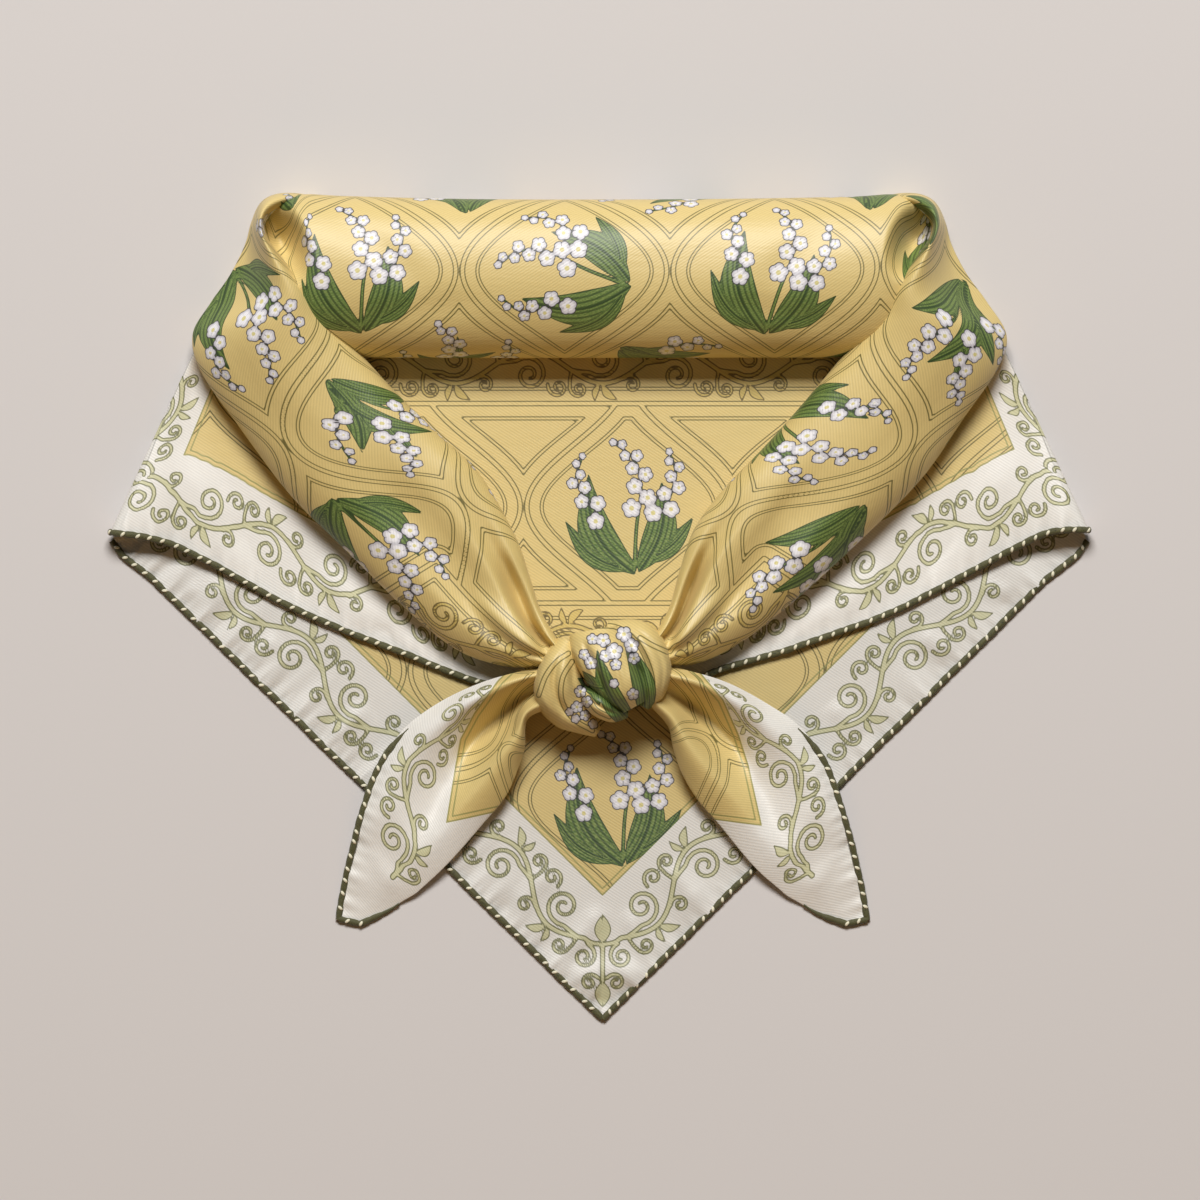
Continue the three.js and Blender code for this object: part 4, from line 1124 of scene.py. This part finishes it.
KNOT_LINES_REACH = 3.0  # short of the trellis' outer lines
KNOT_LINES = [
    [(-13, -18.5), (-18, -22), (-22.5, -28), (-25.5, -36)],
    [(-11.5, -22), (-15.5, -29), (-15.8, -38), (-11, -46), (-3, -51)],
    [(-2, -7), (7, -7.5), (14.5, -12.5), (20, -22), (22.3, -32), (20, -41)],
    [(17, -12), (22, -15), (28.5, -18)],
    [(-4.5, -37), (-1.5, -42), (4, -45)],
]
KNOT_LEAVES = [
    ((16, -50), (-1, -17), 4.4, 0.1), ((19, -48), (10.5, -14), 4.0, -0.08), ((8, -48), (3, -24), 3.2, 0.08),
    ((21, -44), (16, -19), 3.0, -0.06), ((5, -33), (-9, -29), 3.4, 0.12), ((0, -40), (-7, -26), 2.8, -0.1),
]
KNOT_BLOSSOMS = [
    ((-3, -12.5), 2.4), ((1.6, -13), 3.0), ((6.2, -17.6), 3.6), ((10.2, -10.5), 3.4), ((13.4, -15.2), 3.2),
    ((2.6, -19.5), 2.7), ((6.8, -23.2), 2.5), ((14.4, -20.6), 2.6), ((-3.6, -22.5), 2.8), ((-6.4, -19), 2.4),
    ((14, -35.5), 2.6), ((6, -31), 2.1), ((-8, -34.5), 2.6), ((-5.4, -38.8), 2.5), ((-9.4, -41), 2.6),
    ((-6, -44.6), 2.4), ((-2.6, -48.2), 2.2), ((-10, -46), 2.0), ((-12.6, -43), 1.8),
]


def knot_print(x, y):
    """Pairs of lines along the knot's turns, and leaves and blossoms on the front ones, by plan place."""
    fields = no_print(x.shape)
    draw_leaves(x, y, KNOT_LEAVES, fields)
    draw_blossoms(x, y, KNOT_BLOSSOMS, fields)
    lines = np.minimum.reduce([stroke(x, y, curve(points), 0, 0) for points in KNOT_LINES])
    fields["trellis"] = np.minimum(lines, KNOT_LINES_REACH)
    return fields


def add_knot():
    for node, lobe in KNOT.items():
        points = knot_surface(lobe)
        x, y = plan(points)
        fields = all_gold(knot_print(x, y))
        piece = cloth_piece(node + "_turn", node, "silk_gold", points, points[..., :2], fields)


# The gold field's two edges on each tail, seen from above
TAIL_GOLD_LEFT = (
    [(-24, -12), (-42.6, -29.8), (-52.7, -43.7), (-58.6, -54.6), (-60.7, -65.9), (-64.5, -89.9), (-69, -118)],
    [(-100, -97.8), (-64.5, -89.9), (-46.8, -86.1), (-10, -78)],
)
TAIL_GOLD_RIGHT = (
    [(24, -9), (41.8, -26), (51.9, -37.8), (58.6, -52.9), (62.8, -65.9), (68.3, -91.1), (74, -117)],
    [(104, -96), (68.3, -91.1), (48.5, -88.6), (12, -84)],
)
TAIL_SCROLL_FROM = 27.0  # of the scroll, along the edge from the tip
TAIL_SHIFT = 60.0  # of the trellis across a tail
TAIL_EVEN = 20  # rows to each side, over which the border's width is evened out


def add_tail(name, node, tail, edges, side):
    points = tail_surface(tail)
    x, y = plan(points)
    gold = np.minimum(*(-side * line_side(x, y, edge) for edge in edges))
    from_edge = run_length(points, 1)
    down = run_length(points[:, :1])
    from_end = down[-1:] - down + 0 * from_edge
    band = np.where(gold > 0, from_edge, BORDER).min(axis=1).clip(BORDER * 0.6)
    window = 2 * TAIL_EVEN + 1
    even = np.convolve(np.pad(band, TAIL_EVEN, mode="edge"), np.ones(window) / window, mode="valid")
    vine = vine_print(from_end - TAIL_SCROLL_FROM, from_edge * BORDER / even[:, None], 0)
    fields = field_print(from_edge * side + TAIL_SHIFT, from_end)
    clear_spray(fields, True)
    fields["gold"] = gold
    fields["scroll"] = np.where(gold < 0, vine, FAR)
    cloth = np.stack([from_edge * side, from_end], -1)
    piece = cloth_piece(name, node, "silk_border", points, cloth, fields)


FOLD_BORDER = 17.0  # border that shows beside a side fold
NECK_HALF = 75.0  # of the gold panel between the arms, at the height of the knot
NECK_WIDENS = 0.35
NECK_FROM_HEM = 20  # least distance of the panel from the hem
NECK_TOP_LINE = 86.5  # its frame, with a strip of scroll above and below
NECK_LOW_LINE = 2.5
STRIP_ABOVE = (200, 122)  # shift of a strip's scroll along it, and the line it is measured from
STRIP_BELOW = (214, -34)
FOLD_VINE_FROM = 20  # of the scroll, along a side fold
NECK_SPRAY = (12, 43)  # plan places of the sprays on the two layers
UNDER_SPRAY = (7, -80)
SPRAY_IN_FIELD = CELL_ACROSS * 0.75  # of the field's first spray


def spray_field(x, y, centre):
    """The gold field with only one spray, at a plan place."""
    fields = field_print(x - centre[0] + SPRAY_IN_FIELD, y - centre[1])
    keep_spray(fields, x, y, centre)
    return fields


def upper_border(points, fold):
    """Distances to the scroll and the gold's edge, along the hem and beside the side folds."""
    from_hem = run_length(points)
    along_hem = run_length(points[:1], 1)
    s = np.abs(along_hem - along_hem[:, points.shape[1] // 2]) + 0 * from_hem
    s = s.max() - s
    beside = fold + BORDER - FOLD_BORDER
    vine = np.where(from_hem < beside, vine_print(s, from_hem), vine_print(from_hem + FOLD_VINE_FROM, beside))
    return vine, np.minimum(from_hem, beside) - BORDER


def add_upper():
    points, fold = upper_surface(HEM_WIDTH / 2)
    x, y = plan(points)
    fields = spray_field(x, y, NECK_SPRAY)
    vine, gold = upper_border(points, fold)
    neck = np.abs(x) < NECK_HALF + NECK_WIDENS * np.maximum(y, 0)
    panel = neck & (run_length(points) > NECK_FROM_HEM)
    strip = (y > NECK_TOP_LINE) | (y < NECK_LOW_LINE)
    above = vine_print(x + STRIP_ABOVE[0], STRIP_ABOVE[1] - y)
    below = vine_print(x + STRIP_BELOW[0], y - STRIP_BELOW[1])
    band = np.where(y > NECK_SPRAY[1], above, below)
    fields["scroll"] = np.where(panel, np.where(strip, band, FAR), vine)
    fields["gold"] = np.where(panel, ALL_GOLD, gold)
    line = np.minimum(np.abs(y - NECK_TOP_LINE), np.abs(y - NECK_LOW_LINE))
    framed = np.where(strip, line, np.minimum(line, fields["trellis"]))
    fields["trellis"] = np.where(neck, framed, fields["trellis"])
    piece = cloth_piece("upper_cloth", "upper_layer", "silk_border", points, points[..., :2], fields)
    return points


def add_under():
    points = under_surface(HEM_WIDTH / 2)
    x, y = plan(points)
    left, right = from_under_edges(x, y)
    fields = spray_field(x, y, UNDER_SPRAY)
    vine = np.where(left < right, vine_print(right, left, 1), vine_print(left, right, 1))
    fields["scroll"] = np.minimum(vine, corner_print(left, right))
    fields["gold"] = np.minimum(left, right) - BORDER
    cloth = points[..., :2]
    # The under layer takes the darker silk, whose lower tone is painted shade.
    piece = cloth_piece("under_cloth", "under_layer", "silk_border", points, cloth, fields, SHADE_PAINTED_SILK)


# Rolled hems with their stitches

HEM_RING = 14  # points round a hem
PINCH = 0.16  # of a hem's width, at each stitch
PINCH_HALF = 0.9
THIN_END = 0.3  # of a hem's width, where it goes under the cloth
STITCH_REACH = HEM_WIDTH * 0.42  # of a stitch, to each side
STITCH_HALF = 0.64
STITCH_FLAT = 0.55  # height of a stitch, to its width
STITCH_RING = 8
STITCH_ROWS = 7
HEM_RISE = (HEM_HEIGHT - CLOTH) / 2  # of a hem's middle, over the cloth's
HEM_SUNK = 6  # last points of the upper hem, in the tip's fold, where it isn't raised
HEM_CUT = 4  # and where it is left out


def frames(path):
    """Unit vectors along a path, to its side and up from it, without a twist."""
    run = unit(np.gradient(path, axis=0))
    side = np.zeros_like(path)
    now = np.array([-run[0, 1], run[0, 0], 0.0])
    for i, direction in enumerate(run):
        now = unit(now - direction * (now @ direction))
        side[i] = now
    return run, side, np.cross(run, side)


def add_hem(name, node, path, rng, thickens=0.0, thins=0.0):
    """A rolled hem along a path with its stitches, thinner over some length at its start or end."""
    path = spaced(path, HEM_STEP)
    run, side, up = frames(path)
    length = run_length(path)
    pinch = 1 - PINCH * np.exp(-((length % STITCH_PITCH - STITCH_PITCH / 2) / PINCH_HALF) ** 2)
    wander = 0.16 * np.sin(length / 7.3) + 0.1 * np.sin(length / 2.9 + 1.3)
    if thickens:
        pinch = pinch * mix(THIN_END, 1, smooth(length / thickens))
    if thins:
        pinch = pinch * mix(THIN_END, 1, smooth((length[-1] - length) / thins))
    angles = np.linspace(0, 2 * np.pi, HEM_RING, endpoint=False)
    across = np.cos(angles)[None] * (HEM_WIDTH / 2) * pinch[:, None] + wander[:, None] * 0.6
    rise = np.sin(angles)[None] * (HEM_HEIGHT / 2) * pinch[:, None]
    points = path[:, None] + side[:, None] * across[..., None] + up[:, None] * rise[..., None]
    points[..., 2] = np.maximum(0.05, points[..., 2])
    piece = grid_mesh(name, points, np.stack([length[:, None] + 0 * across, across], -1), {}, True)
    dress(piece, HEM, "hem_olive", node)
    flip_if_inside_out(piece)
    reach = thickens + STITCH_PITCH / 2, length[-1] - 1 - thins
    stitches = stitch_mesh(name + "_stitches", path, run, side, up, length, rng, reach)
    dress(stitches, THREAD, "hem_olive")
    return piece


def flip_if_inside_out(piece):
    mesh = piece.data
    count = len(mesh.polygons)
    centres = np.empty(count * 3)
    normals = np.empty(count * 3)
    mesh.polygons.foreach_get("center", centres)
    mesh.polygons.foreach_get("normal", normals)
    if (centres.reshape(-1, 3) * normals.reshape(-1, 3)).sum() < 0:
        mesh.flip_normals()


def stitch_mesh(name, path, run, side, up, length, rng, reach):
    """Slanted cream stitches over a hem, one mesh."""
    places = np.arange(*reach, STITCH_PITCH)
    places = places + rng.uniform(-0.5, 0.5, len(places))
    angles = np.linspace(0, 2 * np.pi, STITCH_RING, endpoint=False)
    vertices, faces = [], []
    for i in np.searchsorted(length, places).clip(0, len(path) - 1):
        direction = unit(run[i] * rng.uniform(0.75, 1.1) + side[i])
        other = np.cross(up[i], direction)
        rings = np.arange(STITCH_ROWS * STITCH_RING).reshape(STITCH_ROWS, STITCH_RING) + len(vertices)
        for k in np.linspace(-1, 1, STITCH_ROWS):
            out = k * STITCH_REACH * rng.uniform(0.95, 1.05)
            crown = (HEM_HEIGHT / 2 + 0.12) * np.sqrt(max(0.05, 1 - (0.72 * k) ** 2))
            thick = STITCH_HALF * np.sqrt(max(0.06, 1 - 0.9 * k * k))
            centre = path[i] + direction * out + up[i] * crown
            for a in angles:
                vertices.append(centre + other * np.cos(a) * thick + up[i] * np.sin(a) * thick * STITCH_FLAT)
        ahead = np.roll(rings, -1, axis=1)
        quads = np.stack([rings[:-1], ahead[:-1], ahead[1:], rings[1:]], -1)
        faces += [*quads.reshape(-1, 4).tolist(), rings[0, ::-1].tolist(), rings[-1].tolist()]
    mesh = bpy.data.meshes.new(name)
    mesh.from_pydata([tuple(v * MM) for v in vertices], [], faces)
    mesh.polygons.foreach_set("use_smooth", np.ones(len(mesh.polygons), bool))
    return new_object(name, mesh)


def under_hem(side):
    """Path of the under layer's hem on one side."""
    edge = under_edge(side, HEM_WIDTH / 2)
    return np.concatenate([edge, np.full((len(edge), 1), HEM_HEIGHT / 2)], 1)


def upper_hem(row, side):
    """Path of the upper layer's hem on one side, from the knot to the tip."""
    middle = len(row) // 2
    path = row[:middle + 1][::-1].copy() if side < 0 else row[middle:].copy()
    path[:-HEM_SUNK, 2] += HEM_RISE
    return path[:-HEM_CUT]


def tail_hem(tail):
    """Path of the hem on a tail's outer side."""
    t = np.linspace(TAIL_HEM_FROM + TAIL_HEM_BEGIN, TAIL_HEM_END, 90)
    inset = np.full(len(t), HEM_WIDTH / 2)
    path = tail_section(tail, t, inset, inset, np.array([0.0]))[:, 0]
    path[:, 2] = np.maximum(HEM_HEIGHT / 2, path[:, 2] + HEM_RISE)
    return path


def tail_end_hem(tail):
    """Path of the hem across a tail's end and up its inner side."""
    end, turn = TAIL_END_HEM
    t = np.linspace(turn, TAIL_END_HEM_TO, 12)
    inset = np.full(len(t), HEM_WIDTH / 2)
    across = np.linspace(*TAIL_END_ACROSS, 16)
    last = tail_section(tail, np.array([end]), inset[:1], inset[:1], across)[0]
    inner = tail_section(tail, t, inset, inset, across[-1:])[:, 0]
    path = np.concatenate([last, inner])
    path[:, 2] = np.maximum(HEM_HEIGHT / 2, path[:, 2] + HEM_RISE * 0.5)
    return path


def add_hems(upper):
    rng = np.random.default_rng(5)
    for side, label in ((-1, "left"), (1, "right")):
        add_hem(f"hem_of_under_{label}", f"hem_under_{label}", under_hem(side), rng)
        add_hem(f"hem_of_upper_{label}", f"hem_upper_{label}", upper_hem(upper[0], side), rng)
    for label, tail in (("left", TAIL_LEFT), ("right", TAIL_RIGHT)):
        add_hem(f"hem_of_tail_{label}", f"hem_tail_{label}", tail_hem(tail), rng, thickens=12.0)
        add_hem(f"hem_of_tail_{label}_end", f"hem_tail_{label}_end", tail_end_hem(tail), rng, thins=16.0)


# Table, light and camera

def add_stage():
    mesh = bpy.data.meshes.new("table")
    reach = 6.0
    corners = [(-reach, -reach, 0), (reach, -reach, 0), (reach, reach, 0), (-reach, reach, 0)]
    mesh.from_pydata(corners, [], [(0, 1, 2, 3)])
    looks = {"Base Color": linear(214, 210, 209), "Roughness": 0.9, "Specular IOR Level": 0.2}
    mesh.materials.append(Nodes("pale_table").surface(looks))
    new_object("table", mesh)


def area_light(name, place, target, size, power, colour):
    light = bpy.data.lights.new(name, "AREA")
    light.shape = "RECTANGLE"
    light.size, light.size_y = size
    light.energy = power
    light.color = colour
    lamp = new_object(name, light)
    lamp.location = place
    lamp.rotation_euler = (Vector(target) - Vector(place)).to_track_quat("-Z", "Y").to_euler()


def add_lights():
    area_light("window", place=(-0.07, 2.45, 3.05), target=(0, 0.02, 0), size=(1.7, 1.1),
               power=168.0, colour=(1.0, 0.985, 0.96))
    area_light("bounce", place=(0.0, -1.9, 0.9), target=(0, 0, 0), size=(1.8, 0.9),
               power=6.0, colour=(1.0, 0.5, 0.12))
    world = bpy.data.worlds.new("room")
    world.use_nodes = True
    background = world.node_tree.nodes["Background"]
    background.inputs["Color"].default_value = (1.0, 0.85, 0.64, 1)
    background.inputs["Strength"].default_value = 0.06
    bpy.context.scene.world = world
    bpy.context.scene.view_settings.view_transform = "Standard"


PHOTO_PIXEL = 0.42  # millimetres of table in one pixel of the 1200 pixel picture
PHOTO_SIDE = 1200
CAMERA_HEIGHT = 4.0  # metres
CAMERA_CENTRE = (0.2, 3.8)
FOCUS_HEIGHT = 0.012  # metres, where a pixel has that size


def add_camera():
    data = bpy.data.cameras.new("camera")
    camera = new_object("camera", data)
    camera.location = (CAMERA_CENTRE[0] * MM, CAMERA_CENTRE[1] * MM, CAMERA_HEIGHT)
    data.sensor_width = 36
    data.lens = data.sensor_width * (CAMERA_HEIGHT - FOCUS_HEIGHT) / (PHOTO_PIXEL * PHOTO_SIDE * MM)
    data.clip_end = 20
    bpy.context.scene.camera = camera


add_camera()
add_roll()
add_arm("arm_left_cloth", "arm_left", ARM_LEFT, 0, 20)
add_arm("arm_right_cloth", "arm_right", ARM_RIGHT, 44, 70)
add_knot()
add_tail("tail_left_cloth", "tail_left", TAIL_LEFT, TAIL_GOLD_LEFT, 1)
add_tail("tail_right_cloth", "tail_right", TAIL_RIGHT, TAIL_GOLD_RIGHT, -1)
upper = add_upper()
add_under()
add_hems(upper)
add_stage()
add_lights()
